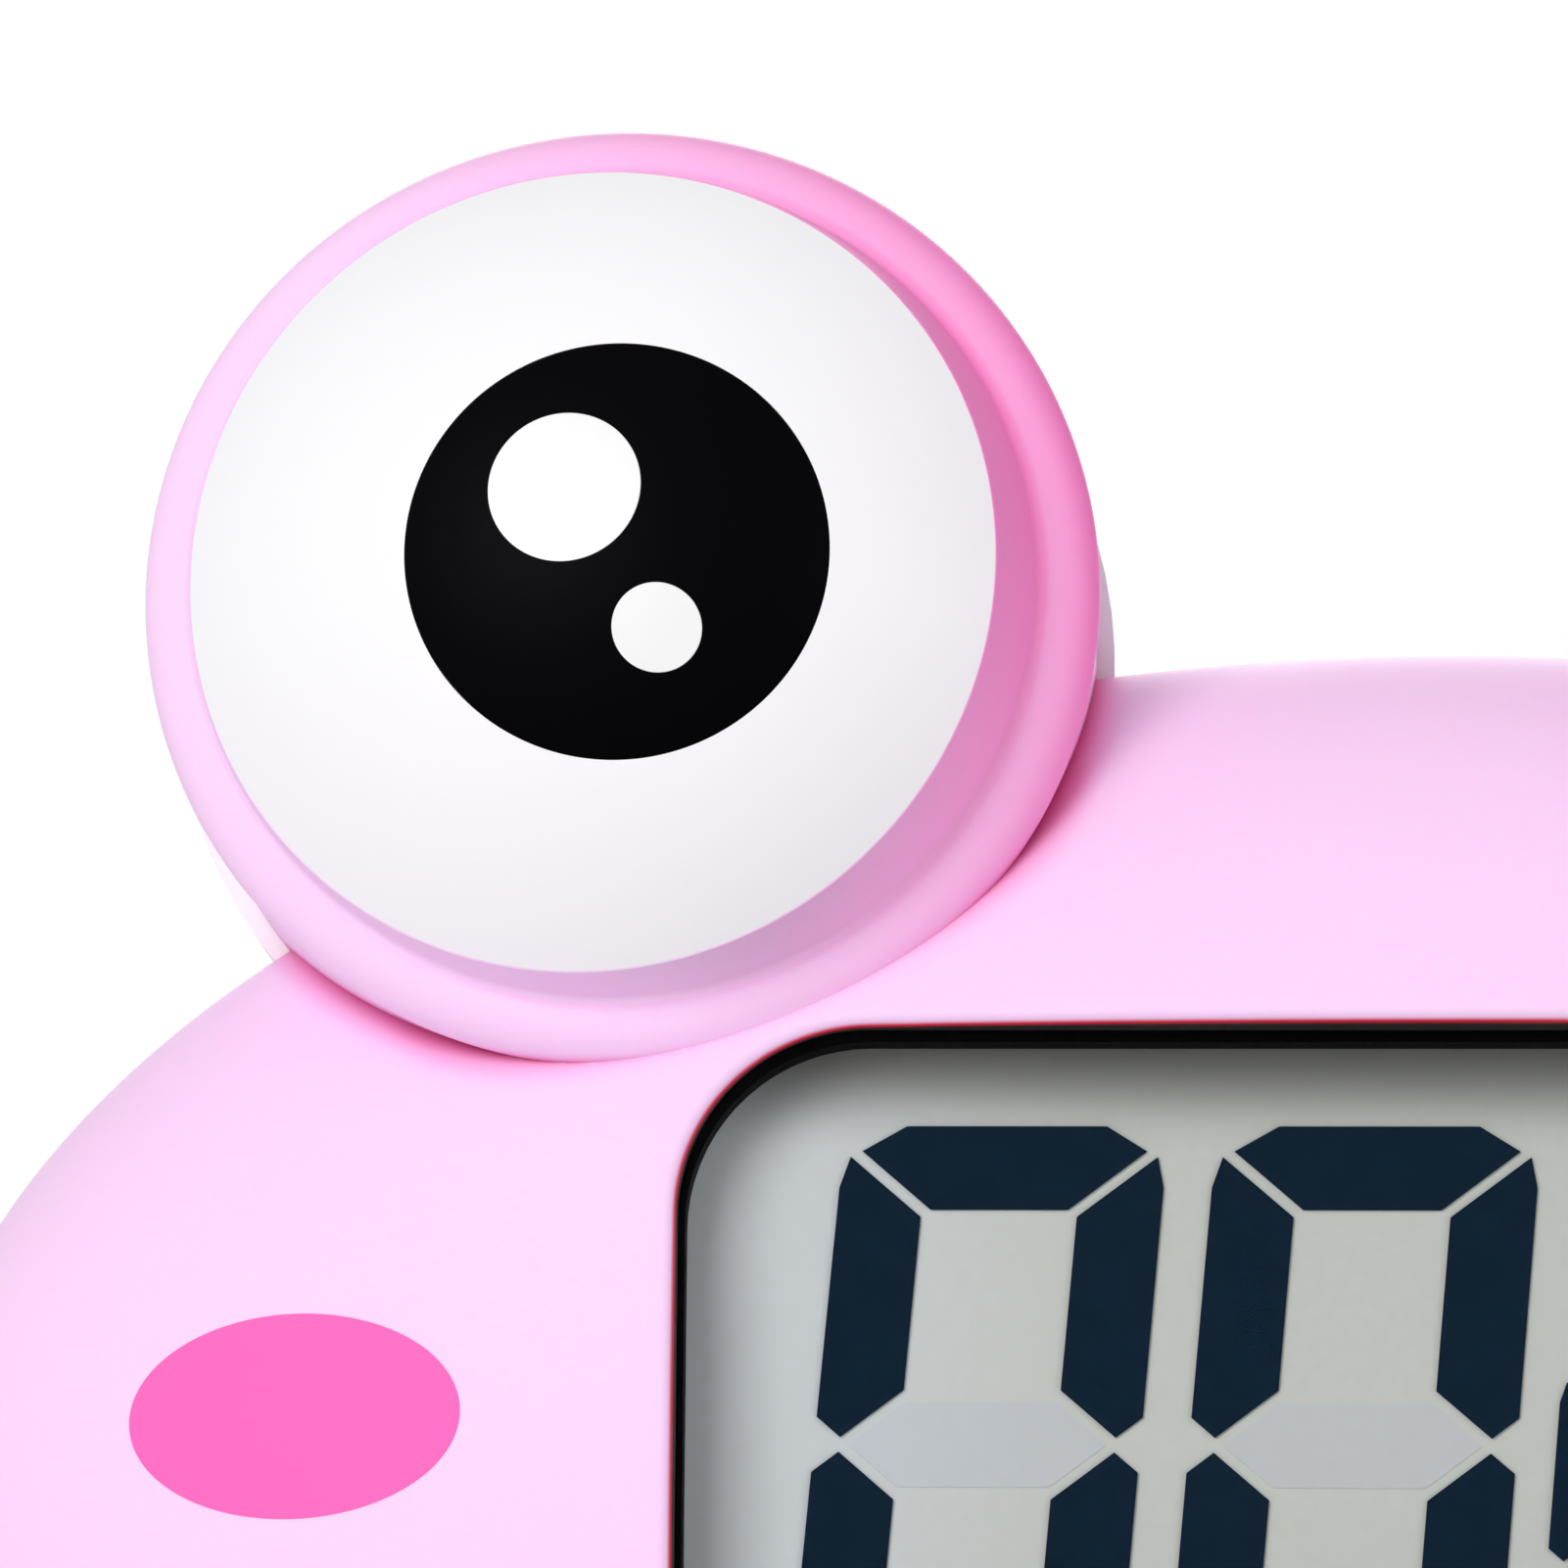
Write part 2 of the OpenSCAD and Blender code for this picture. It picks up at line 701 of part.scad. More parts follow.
// Cap that rests on the collar's top, and the hollow plug behind it
module dome_profile() {
    plug_z = collar_reach - dome_plug_l;
    difference() {
        intersection() {
            translate([0, dome_centre_z]) circle(dome_r, $fn = fine_fn);
            union() {
                translate([0, collar_reach]) square([far, far]);
                translate([0, plug_z]) square([dome_plug_r, far]);
            }
        }
        intersection() {
            translate([0, dome_centre_z]) circle(dome_r - dome_wall, $fn = fine_fn);
            translate([0, plug_z - cut]) square([dome_plug_r - dome_wall, far]);
        }
    }
}

module pupil_disc(side, d, at, gap, depth) {
    difference() {
        translate([at[0] - side * pupil_shift, at[1] - pupil_drop, collar_reach])
            cylinder(d = d + 2 * gap, h = far);
        dome_ball(depth);
    }
}

module eye_dome(side) {
    color(white) stand_up() at_dome(side) difference() {
        rotate_extrude() dome_profile();
        pupil_disc(side, pupil_d, [0, 0], inlay_gap, inlay_t + inlay_gap);
    }
}

module pupil(side) {
    color(black) stand_up() at_dome(side) difference() {
        intersection() {
            dome_ball(0);
            pupil_disc(side, pupil_d, [0, 0], 0, inlay_t);
        }
        pupil_disc(side, glint_big_d, glint_big_at, inlay_gap, inlay_t + inlay_gap);
        pupil_disc(side, glint_small_d, glint_small_at, inlay_gap, inlay_t + inlay_gap);
    }
}

module glints(side) {
    color("white") stand_up() at_dome(side) intersection() {
        dome_ball(0);
        union() {
            pupil_disc(side, glint_big_d, glint_big_at, 0, inlay_t);
            pupil_disc(side, glint_small_d, glint_small_at, 0, inlay_t);
        }
    }
}

module left_eye_dome() { eye_dome(-1); }
module right_eye_dome() { eye_dome(1); }
module left_pupil() { pupil(-1); }
module right_pupil() { pupil(1); }
module left_glints() { glints(-1); }
module right_glints() { glints(1); }

module cheek(side) {
    color(hot_pink) stand_up() difference() {
        intersection() {
            cheek_prism(side, 0);
            front_solid(0);
        }
        front_solid(inlay_t);
    }
}

module left_cheek() { cheek(-1); }
module right_cheek() { cheek(1); }

module display_lens() {
    color([0.9, 0.93, 0.95, 0.3]) stand_up() display_plate(lens_back, lens_front);
}

module display_gasket() {
    color(black) stand_up() difference() {
        display_plate(lcd_front, lens_back);
        translate([0, window_up, 0]) slab(
            window_w - 2 * border_w, window_h - 2 * border_w, window_corner_r - border_w,
            lcd_front - cut, lens_back + cut
        );
    }
}

module lcd_panel() {
    color([0.75, 0.77, 0.73]) stand_up() display_plate(lcd_back, lcd_front);
}

// Top segment of a digit: a bar that narrows to its inner edge, with bevelled outer corners
module top_segment() {
    inner_x = digit_w / 2 - stroke - cut_rise / cut_slope;
    tip_x = inner_x + (stroke - tip_in) / cut_slope;
    bevel_x = digit_w / 2 - corner_run;
    top = digit_h / 2;
    polygon([
        [-bevel_x, top], [bevel_x, top], [tip_x, top - tip_in],
        [inner_x, top - stroke], [-inner_x, top - stroke], [-tip_x, top - tip_in]
    ]);
}

// Upper right segment, from the digit's corner down to its pointed end at the waist
module side_segment() {
    outer_x = digit_w / 2;
    inner_x = outer_x - stroke;
    corner_tip = tip_in / 3;
    corner_y = digit_h / 2 - stroke - cut_rise;
    polygon([
        [outer_x, digit_h / 2 - corner_run],
        [outer_x - corner_tip, corner_y + cut_slope * (stroke - corner_tip)],
        [inner_x, corner_y],
        [inner_x, cut_rise + cut_slope * (stroke - tip_in)],
        [outer_x - tip_in, cut_rise],
        [outer_x, cut_rise + cut_slope * tip_in]
    ]);
}

// A nought: every segment but the middle one
module nought() {
    for (up = [0, 1]) mirror([0, up]) {
        top_segment();
        for (left = [0, 1]) mirror([left, 0]) side_segment();
    }
}

module slanted_nought(share) {
    lean = tan(slant);
    multmatrix([[1, lean, 0, 0], [0, 1, 0, 0], [0, 0, 1, 0], [0, 0, 0, 1]])
        scale(share) nought();
}

module lcd_segments() {
    first_x = digit_margin + digit_w / 2 - window_w / 2;
    second_x = first_x + digit_pitch + second_step;
    second_y = -(1 - second_share) * digit_h / 2;
    color(ink) stand_up() translate([0, window_up - digit_drop, lcd_front]) linear_extrude(segment_t) {
        for (place = [0, 1]) {
            translate([first_x + place * digit_pitch, 0]) slanted_nought(1);
            translate([second_x + place * digit_pitch * second_share, second_y])
                slanted_nought(second_share);
        }
    }
}

module strip_places() {
    for (end = [-1, 1]) translate([0, window_up + end * strip_y, board_front]) children();
}

module lcd_frame() {
    bar = strip_w + 2 * fit_gap + 2 * lcd_frame_wall;
    color(white) stand_up() difference() {
        display_plate(board_front, lcd_back);
        translate([0, window_up, 0]) slab(
            lens_w - 2 * fit_gap - 2 * bar, lens_h - 2 * fit_gap - 2 * bar, lcd_frame_wall,
            board_front - cut, lcd_back + cut
        );
        strip_places()
            translate([-strip_l / 2 - fit_gap, -strip_w / 2 - fit_gap, -cut])
                cube([strip_l + 2 * fit_gap, strip_w + 2 * fit_gap, strip_h + 2 * cut]);
    }
}

module contact_strips() {
    color([0.85, 0.55, 0.65]) stand_up() strip_places()
        translate([-strip_l / 2, -strip_w / 2, 0]) cube([strip_l, strip_w, strip_h]);
}

module circuit_board() {
    color([0.1, 0.4, 0.25]) stand_up() difference() {
        intersection() {
            translate([0, 0, board_back])
                oval_turn(half_w - board_inset, half_h - board_inset)
                    square([half_h - board_inset, board_t]);
            translate([-board_half_w, -far, board_back]) cube([2 * board_half_w, 2 * far, board_t]);
        }
        for (spot = case_spots)
            translate([spot[0], spot[1], board_back - cut])
                cylinder(d = board_notch_d, h = board_t + 2 * cut);
        for (spot = board_spots)
            translate([spot[0], spot[1], board_back - cut])
                cylinder(d = board_screw_d + 2 * pin_gap, h = board_t + 2 * cut);
    }
}

module chip_blob() {
    ball_r = (pow(blob_d / 2, 2) + blob_h * blob_h) / (2 * blob_h);
    color(black) stand_up()
        translate([-blob_d / 2, -buzzer_down, board_back]) mirror([0, 0, 1]) intersection() {
            translate([0, 0, blob_h - ball_r]) sphere(ball_r);
            cylinder(d = blob_d + cut, h = blob_h + cut);
        }
}

// Watch crystal: a small can lying on the board
module crystal() {
    can_d = 2;
    can_l = 6;
    color(steel) stand_up()
        translate([-buzzer_x - can_l / 2, -buzzer_down, board_back - can_d / 2 - inlay_gap])
            rotate([0, 90, 0]) cylinder(d = can_d, h = can_l);
}

module board_parts() {
    chip = [2, 1.25, 0.8];
    row_step = 2;
    first_row = 2.4;
    color([0.6, 0.5, 0.4]) stand_up()
        for (row = [0:2])
            translate([
                -buzzer_x - chip[0] / 2, -buzzer_down - first_row - row * row_step, board_back - chip[2]
            ])
                cube(chip);
}

module buzzer() {
    port_d = 2;
    port_depth = 1.5;
    color(black) stand_up() translate([buzzer_x, -buzzer_down, board_back - buzzer_h]) difference() {
        cylinder(d = buzzer_d, h = buzzer_h);
        translate([0, 0, -cut]) cylinder(d = port_d, h = port_depth + cut);
    }
}

module key_mat() {
    color([0.8, 0.8, 0.82]) stand_up() difference() {
        union() {
            translate([0, key_y, 0])
                pill(2 * mat_half_w, 2 * mat_half_h, board_front, mat_front);
            at_keys() translate([0, 0, board_front])
                cylinder(r = skirt_r + skirt_wall, h = skirt_front - board_front);
        }
        at_keys() translate([0, 0, board_front - cut]) cylinder(r = skirt_r, h = far);
    }
}

module plunger(column) {
    color([0.3, 0.3, 0.32]) stand_up() translate([column * key_pitch, key_y, plunger_tip])
        cylinder(d = plunger_d, h = key_back - plunger_tip);
}

module minute_plunger() { plunger(-1); }
module start_plunger() { plunger(0); }
module second_plunger() { plunger(1); }

module key_profile() {
    r = key_h / 2;
    translate([0, key_back]) square([r, key_top - key_fillet - key_back]);
    translate([0, key_back]) square([r - key_fillet, key_top - key_back]);
    translate([r - key_fillet, key_top - key_fillet]) circle(key_fillet);
}

module button(column) {
    run = key_w - key_h;
    color(white) stand_up() translate([column * key_pitch, key_y, 0]) {
        for (side = [-1, 1])
            translate([side * run / 2, 0, 0])
                rotate([0, 0, -90 * side]) rotate_extrude(angle = 180) key_profile();
        translate([-run / 2, 0, 0]) rotate([90, 0, 90]) linear_extrude(run) {
            key_profile();
            mirror([1, 0]) key_profile();
        }
        pill(key_w + 2 * key_flange, key_h + 2 * key_flange, key_back, key_seat);
    }
}

module minute_button() { button(-1); }
module start_button() { button(0); }
module second_button() { button(1); }

module battery_cell() {
    color([0.75, 0.6, 0.3]) stand_up() translate([cell_left, cell_up, cell_z]) rotate([0, 90, 0]) {
        cylinder(d = cell_d, h = cell_l - cell_nub_l);
        cylinder(d = cell_nub_d, h = cell_l);
    }
}

// The coil spring between the left plate and the cell, a tube along a tapering helix
spring_turns = 4;
spring_rings = 8 * spring_turns;
spring_sides = 6;
spring_wide_r = 3.4;
spring_narrow_r = 2;
spring_from = contact_t - bay_half_l + spring_wire_d / 2 + inlay_gap;
spring_to = cell_left - spring_wire_d / 2 - inlay_gap;
function spring_at(t) =
    let (r = spring_wide_r + (spring_narrow_r - spring_wide_r) * t, turn = 360 * spring_turns * t)
    [spring_from + (spring_to - spring_from) * t, r * cos(turn), r * sin(turn)];
function spring_ring(t) =
    let (turn = 360 * spring_turns * t)
    [
        for (k = [0:spring_sides - 1])
            let (a = 360 * k / spring_sides)
            spring_at(t) + spring_wire_d / 2 * [sin(a), cos(a) * cos(turn), cos(a) * sin(turn)]
    ];
// Least gap between two points of the wire that lie half a turn or more apart
spring_points = [for (i = [0:spring_rings]) spring_at(i / spring_rings)];
spring_self_gap = min([
    for (i = [0:spring_rings], j = [i + 4:1:spring_rings])
        norm(spring_points[i] - spring_points[j]) - spring_wire_d
]);
echo("battery spring, least gap to itself", spring_self_gap);

module battery_spring() {
    points = [for (i = [0:spring_rings]) each spring_ring(i / spring_rings)];
    sides = [
        for (i = [0:spring_rings - 1], k = [0:spring_sides - 1])
            let (a = i * spring_sides + k, b = i * spring_sides + (k + 1) % spring_sides)
            each [[a, b, a + spring_sides], [b, b + spring_sides, a + spring_sides]]
    ];
    last = spring_rings * spring_sides;
    caps = [
        for (k = [1:spring_sides - 2])
            each [[0, k + 1, k], [last, last + k, last + k + 1]]
    ];
    color(steel) stand_up() translate([0, cell_up, cell_z])
        polyhedron(points = points, faces = concat(sides, caps));
}

// A contact plate, with its tail through the bay's floor to the board
module contact(side) {
    plate_h = bay_floor - cell_z + cell_nub_d;
    color(steel) stand_up() translate([side * (bay_half_l - contact_t / 2), cell_up, 0]) {
        translate([-contact_t / 2, -contact_w / 2, bay_floor - plate_h])
            cube([contact_t, contact_w, plate_h]);
        translate([-contact_t / 2, -tail_w / 2, bay_floor - cut])
            cube([contact_t, tail_w, board_back - bay_floor + cut]);
    }
}

module negative_contact() { contact(-1); }
module positive_contact() { contact(1); }

module battery_door() {
    rib_y = bay_half_h - fit_gap - door_rib_t / 2;
    color(white) stand_up() {
        difference() {
            intersection() {
                door_plate(0, -far, door_inner);
                rear_solid(0);
            }
            behind_back();
            for (row = [0:2])
                translate([-groove_l / 2, cell_up - door_half_h + (row + 2) * groove_step, -rear_depth])
                    rotate([0, 90, 0]) cylinder(d = groove_d, h = groove_l);
        }
        for (end = [-1, 1])
            translate([0, cell_up + end * rib_y, door_inner + door_rib_h / 2 - door_t / 4])
                cube([door_rib_l, door_rib_t, door_rib_h + door_t / 2], center = true);
    }
}

module stand() {
    color(white) stand_up() difference() {
        intersection() {
            union() {
                stand_axis(stand_barrel_d, stand_w / 2);
                translate([-stand_w / 2, stand_end_y, stand_axis_z - stand_r])
                    cube([stand_w, -stand_down - stand_end_y, stand_t]);
                stand_axis(stand_pin_d, recess_half_w + stand_pin_l - fit_gap);
            }
            rear_solid(stand_skin);
        }
        translate([0, magnet_y, -rear_depth - cut])
            cylinder(d = magnet_d + 2 * inlay_gap, h = magnet_t + stand_skin + cut);
    }
}

module stand_magnet() {
    color(steel) stand_up() translate([0, magnet_y, stand_skin - rear_depth])
        cylinder(d = magnet_d, h = magnet_t);
}

module case_screws() {
    color(steel) stand_up()
        for (spot = case_spots) translate([spot[0], spot[1], 0]) difference() {
            union() {
                translate([0, 0, case_head_z - case_head_h]) cylinder(d = case_head_d, h = case_head_h);
                translate([0, 0, case_head_z]) cylinder(d = case_screw_d, h = case_grip - case_head_z);
            }
            cross_slots(case_head_d, case_head_z - case_head_h, case_head_h);
        }
}

// A cross cut into the rear face of a screw's head
module cross_slots(d, z, h) {
    slot_w = d / 6;
    slot_l = d * 0.6;
    for (turn = [0, 90])
        translate([0, 0, z]) rotate([0, 0, turn]) cube([slot_l, slot_w, h], center = true);
}

module board_screws() {
    color(steel) stand_up()
        for (spot = board_spots) translate([spot[0], spot[1], board_back]) difference() {
            union() {
                translate([0, 0, -board_head_h]) cylinder(d = board_head_d, h = board_head_h);
                cylinder(d = board_screw_d, h = board_t + board_grip);
            }
            cross_slots(board_head_d, -board_head_h, board_head_h);
        }
}

front_shell();
rear_cover();
left_eye_dome();
right_eye_dome();
left_pupil();
right_pupil();
left_glints();
right_glints();
left_cheek();
right_cheek();
display_lens();
display_gasket();
lcd_panel();
lcd_segments();
lcd_frame();
contact_strips();
circuit_board();
chip_blob();
crystal();
board_parts();
buzzer();
key_mat();
minute_plunger();
start_plunger();
second_plunger();
minute_button();
start_button();
second_button();
battery_cell();
battery_spring();
negative_contact();
positive_contact();
battery_door();
stand();
stand_magnet();
case_screws();
board_screws();
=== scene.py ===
# %% [markdown]
# # A frog-faced countdown timer
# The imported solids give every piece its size, its place and the body that it moves with.
# This lesson dresses them: the pieces that show are worked out again as smooth numpy surfaces,
# and every piece gets a finish built from shader nodes.

import json
import math

import bmesh
import bpy
import numpy as np
from mathutils import Matrix, Vector


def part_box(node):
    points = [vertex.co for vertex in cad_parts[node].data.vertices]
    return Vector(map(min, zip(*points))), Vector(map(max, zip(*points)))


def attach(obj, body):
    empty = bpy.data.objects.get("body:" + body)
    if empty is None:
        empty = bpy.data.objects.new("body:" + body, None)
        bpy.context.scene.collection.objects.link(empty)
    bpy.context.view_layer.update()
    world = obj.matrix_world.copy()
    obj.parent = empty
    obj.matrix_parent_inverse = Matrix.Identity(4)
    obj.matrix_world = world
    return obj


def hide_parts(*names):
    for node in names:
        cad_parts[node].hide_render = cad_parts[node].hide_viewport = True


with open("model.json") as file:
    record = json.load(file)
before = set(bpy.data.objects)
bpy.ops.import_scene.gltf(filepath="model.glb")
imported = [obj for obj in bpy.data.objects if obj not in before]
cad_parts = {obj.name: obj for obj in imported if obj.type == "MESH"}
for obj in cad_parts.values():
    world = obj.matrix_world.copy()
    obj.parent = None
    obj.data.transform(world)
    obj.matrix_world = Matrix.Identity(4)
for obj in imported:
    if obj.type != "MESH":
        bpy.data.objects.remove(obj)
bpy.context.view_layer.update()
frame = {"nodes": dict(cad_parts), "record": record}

# %% [markdown]
# ## The face frame
# A face is easiest to think of in millimetres, as it is drawn on paper: x to the right, y up from the
# middle of the oval body and z out of the face, from the plane where the two case halves meet.
# One small function then stands that drawing upright in the room, in metres.

# %% Face frame
MM = 0.001
HALF_W = 40.0
HALF_H = 22.5
BASE_CUT = 1.0
BASE_Y = BASE_CUT - HALF_H
parting_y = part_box("front_shell")[1].y


def to_room(face):
    """Room point = (x, parting plane - z, y above the base), in metres."""
    face = np.asarray(face, float)
    return np.stack(
        [face[..., 0] * MM, parting_y - face[..., 2] * MM, (face[..., 1] - BASE_Y) * MM], -1
    )


def face_depth(node, corner):
    """How far a node's front (corner 0) or back (corner 1) lies before the parting plane, in mm."""
    return (parting_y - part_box(node)[corner].y) / MM


print("parting plane at y =", round(parting_y, 6))

# %% [markdown]
# ## From grids to meshes
# Nearly every surface here is a grid of points: rows of rings that are carried along a profile.
# The grid's quads follow from the row and column numbers alone, so numpy can list them at once.
# Doubles at poles and seams are merged afterwards, and the normals are then turned outwards.

# %% Grid helpers
MERGE = 2e-7
SHARP = math.radians(30)


def quads(rows, columns, loop):
    """Corner numbers of the quads between neighbouring rings; loop joins the last ring to the first."""
    row = np.arange(rows if loop else rows - 1)[:, None]
    column = np.arange(columns)[None, :]
    after = (column + 1) % columns
    above = (row + 1) % rows
    here, next_up = row * columns, above * columns
    corners = [here + column, here + after, next_up + after, next_up + column]
    return np.stack(corners, -1).reshape(-1, 4)


def mesh_of(name, points, faces):
    """A mesh from room points and quads, merged, turned outwards and shaded smooth up to 30 degrees."""
    mesh = bpy.data.meshes.new(name)
    points = np.ascontiguousarray(points, np.float32).reshape(-1, 3)
    faces = np.ascontiguousarray(faces, np.int32)
    mesh.vertices.add(len(points))
    mesh.vertices.foreach_set("co", points.ravel())
    mesh.loops.add(faces.size)
    mesh.loops.foreach_set("vertex_index", faces.ravel())
    mesh.polygons.add(len(faces))
    mesh.polygons.foreach_set("loop_start", np.arange(0, faces.size, 4, dtype=np.int32))
    mesh.update(calc_edges=True)
    settle(mesh)
    return mesh


def settle(mesh):
    """Merges doubles, turns the faces outwards and marks the sharp edges."""
    work = bmesh.new()
    work.from_mesh(mesh)
    bmesh.ops.remove_doubles(work, verts=work.verts, dist=MERGE)
    bmesh.ops.dissolve_degenerate(work, edges=work.edges, dist=MERGE)
    bmesh.ops.recalc_face_normals(work, faces=work.faces)
    work.to_mesh(mesh)
    work.free()
    soften(mesh)


def soften(mesh):
    """Smooth shading that keeps edges sharper than 30 degrees."""
    mesh.polygons.foreach_set("use_smooth", np.ones(len(mesh.polygons), bool))
    mesh.set_sharp_from_angle(angle=SHARP)
    mesh.update()


def rings_mesh(name, rings, loop=True):
    """A mesh from an array of rings in face millimetres, shaped rows by columns by three."""
    rows, columns = rings.shape[:2]
    return mesh_of(name, to_room(rings), quads(rows, columns, loop))


def joined(name, meshes):
    """One mesh from several, kept as separate shells."""
    work = bmesh.new()
    for mesh in meshes:
        work.from_mesh(mesh)
        bpy.data.meshes.remove(mesh)
    out = bpy.data.meshes.new(name)
    work.to_mesh(out)
    work.free()
    soften(out)
    return out


def add_piece(name, mesh, material, body="case", stands_for=()):
    """Links a mesh as a piece that rides on a body and stands for CAD nodes."""
    piece = bpy.data.objects.new(name, mesh)
    bpy.context.scene.collection.objects.link(piece)
    mesh.materials.clear()
    mesh.materials.append(material)
    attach(piece, body)
    if stands_for:
        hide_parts(*stands_for)
    print(name, len(mesh.vertices), "points", len(mesh.polygons), "faces")
    return piece


# %% [markdown]
# ## Finishes
# Moulded plastic is never one flat colour. The resin's tint drifts a little, the mould leaves a very
# fine grain, and gloss varies with it. One function sets up those three layers on Object coordinates,
# and each finish below gives it its own numbers.

# %% Finish helpers
GLOSS_SPREAD = 0.04
GRAIN_DEPTH = 2e-5
COAT_ROUGH = 0.08
CREASE_SAMPLES = 12


def shader(name):
    """An empty node material with its Principled shader."""
    material = bpy.data.materials.new(name)
    material.use_nodes = True
    tree = material.node_tree
    return material, tree, tree.nodes["Principled BSDF"]


def noise_of(tree, scale, detail=3.0):
    """A noise on Object coordinates; scale counts features for each metre."""
    place = tree.nodes.new("ShaderNodeTexCoord")
    noise = tree.nodes.new("ShaderNodeTexNoise")
    noise.inputs["Scale"].default_value = scale
    noise.inputs["Detail"].default_value = detail
    tree.links.new(place.outputs["Object"], noise.inputs["Vector"])
    return noise


def spread(tree, value, low, high):
    """Maps a 0 to 1 value to the range from low to high."""
    ranged = tree.nodes.new("ShaderNodeMapRange")
    ranged.inputs["To Min"].default_value = low
    ranged.inputs["To Max"].default_value = high
    tree.links.new(value, ranged.inputs["Value"])
    return ranged.outputs["Result"]


def mixed(tree, share, first, second):
    """Mixes two colours; each is a socket or a plain colour."""
    mix = tree.nodes.new("ShaderNodeMix")
    mix.data_type = "RGBA"
    tree.links.new(share, mix.inputs["Factor"])
    for socket, colour in ((mix.inputs[6], first), (mix.inputs[7], second)):
        if isinstance(colour, tuple):
            socket.default_value = (*colour, 1.0)
        else:
            tree.links.new(colour, socket)
    return mix.outputs[2]


def tinted(colour, factor):
    """A colour scaled and kept in range."""
    return tuple(min(1.0, c * factor) for c in colour)


def moulded(
    name, colour, rough, drift=0.02, drift_scale=90.0, grain_scale=5000.0, grain=0.02, coat=0.0, shine=0.5
):
    """Moulded plastic: drifting tint, grain in the gloss and a fine bump."""
    material, tree, body = shader(name)
    cloud = noise_of(tree, drift_scale)
    shade = mixed(tree, cloud.outputs["Fac"], tinted(colour, 1 - drift), tinted(colour, 1 + drift))
    tree.links.new(shade, body.inputs["Base Color"])
    fine = noise_of(tree, grain_scale, 2.0)
    gloss = spread(tree, fine.outputs["Fac"], rough - GLOSS_SPREAD, rough + GLOSS_SPREAD)
    tree.links.new(gloss, body.inputs["Roughness"])
    bump = tree.nodes.new("ShaderNodeBump")
    bump.inputs["Strength"].default_value = grain
    bump.inputs["Distance"].default_value = GRAIN_DEPTH
    tree.links.new(fine.outputs["Fac"], bump.inputs["Height"])
    tree.links.new(bump.outputs["Normal"], body.inputs["Normal"])
    body.inputs["Specular IOR Level"].default_value = shine
    body.inputs["Coat Weight"].default_value = coat
    body.inputs["Coat Roughness"].default_value = COAT_ROUGH
    return material


def glow_inside(material, weight, radius, scale):
    """Light that wanders under the surface, as in slightly see-through resin."""
    body = material.node_tree.nodes["Principled BSDF"]
    body.inputs["Subsurface Weight"].default_value = weight
    body.inputs["Subsurface Radius"].default_value = radius
    body.inputs["Subsurface Scale"].default_value = scale


def paint_crease_shade(material, deep, reach, low, high):
    """Painted shade: mixes a deeper colour into the creases, found by ambient occlusion."""
    tree = material.node_tree
    body = tree.nodes["Principled BSDF"]
    shade = body.inputs["Base Color"].links[0].from_socket
    near = tree.nodes.new("ShaderNodeAmbientOcclusion")
    near.samples = CREASE_SAMPLES
    near.inputs["Distance"].default_value = reach
    ranged = tree.nodes.new("ShaderNodeMapRange")
    ranged.inputs["From Min"].default_value = low
    ranged.inputs["From Max"].default_value = high
    tree.links.new(near.outputs["AO"], ranged.inputs["Value"])
    tree.links.new(mixed(tree, ranged.outputs["Result"], deep, shade), body.inputs["Base Color"])


def metal(name, colour, rough, scale):
    """Bright metal with fine drawn streaks in its gloss."""
    material = moulded(name, colour, rough, 0.03, scale, scale * 8, 0.05)
    material.node_tree.nodes["Principled BSDF"].inputs["Metallic"].default_value = 1.0
    return material


# %% [markdown]
# The case is pale pink resin that lets some light in. Its creases get painted shade: where ambient occlusion
# finds a groove, as round an eye, the colour is mixed towards hot pink, and in the tightest creases towards
# crimson. The same resin is therefore set up twice: the ring round an eye has a longer reach for that painted
# shade than the open body, and a further painted shade deepens it towards the nose, where the collar stands
# tall. A thin red line is painted as shade where the body's wall turns into the window, and the wall below it
# is painted black as shade, so that the display has a dark frame. Mesh attributes, worked out further down,
# say where these are.

# %% Case finishes
PALE_PINK = (0.96, 0.655, 0.94)
# The colours after the pale pink are painted shade: hot pink and crimson for creases and the ring, a red line
# and black for the window's lip and wall.
SHADE_PINK = (0.97, 0.16, 0.52)
CREASE_SHADE_CRIMSON = (0.42, 0.012, 0.1)
EDGE_SHADE_RED = (0.95, 0.008, 0.05)
WALL_SHADE_BLACK = (0.003, 0.002, 0.003)
pink_resin = moulded("pink_resin", PALE_PINK, 0.5, 0.012, shine=0.12)
ring_resin = moulded("ring_resin", PALE_PINK, 0.5, 0.012, shine=0.12)
for resin in (pink_resin, ring_resin):
    glow_inside(resin, 0.25, (1.0, 0.2, 0.45), 0.001)


def mark_colour(material, mark, colour):
    """Mixes a colour in where a mesh attribute says so."""
    tree = material.node_tree
    base = tree.nodes["Principled BSDF"].inputs["Base Color"]
    share = tree.nodes.new("ShaderNodeAttribute")
    share.attribute_name = mark
    tree.links.new(mixed(tree, share.outputs["Fac"], base.links[0].from_socket, colour), base)


# Painted shade: hot pink on the ring where its mesh attribute says, and hot pink and crimson in creases found
# by ambient occlusion.
mark_colour(ring_resin, "ring_painted_shade", SHADE_PINK)
paint_crease_shade(ring_resin, SHADE_PINK, 0.002, 0.25, 0.7)
paint_crease_shade(pink_resin, SHADE_PINK, 0.0012, 0.3, 0.9)
for resin in (pink_resin, ring_resin):
    paint_crease_shade(resin, CREASE_SHADE_CRIMSON, 0.0015, 0.18, 0.6)
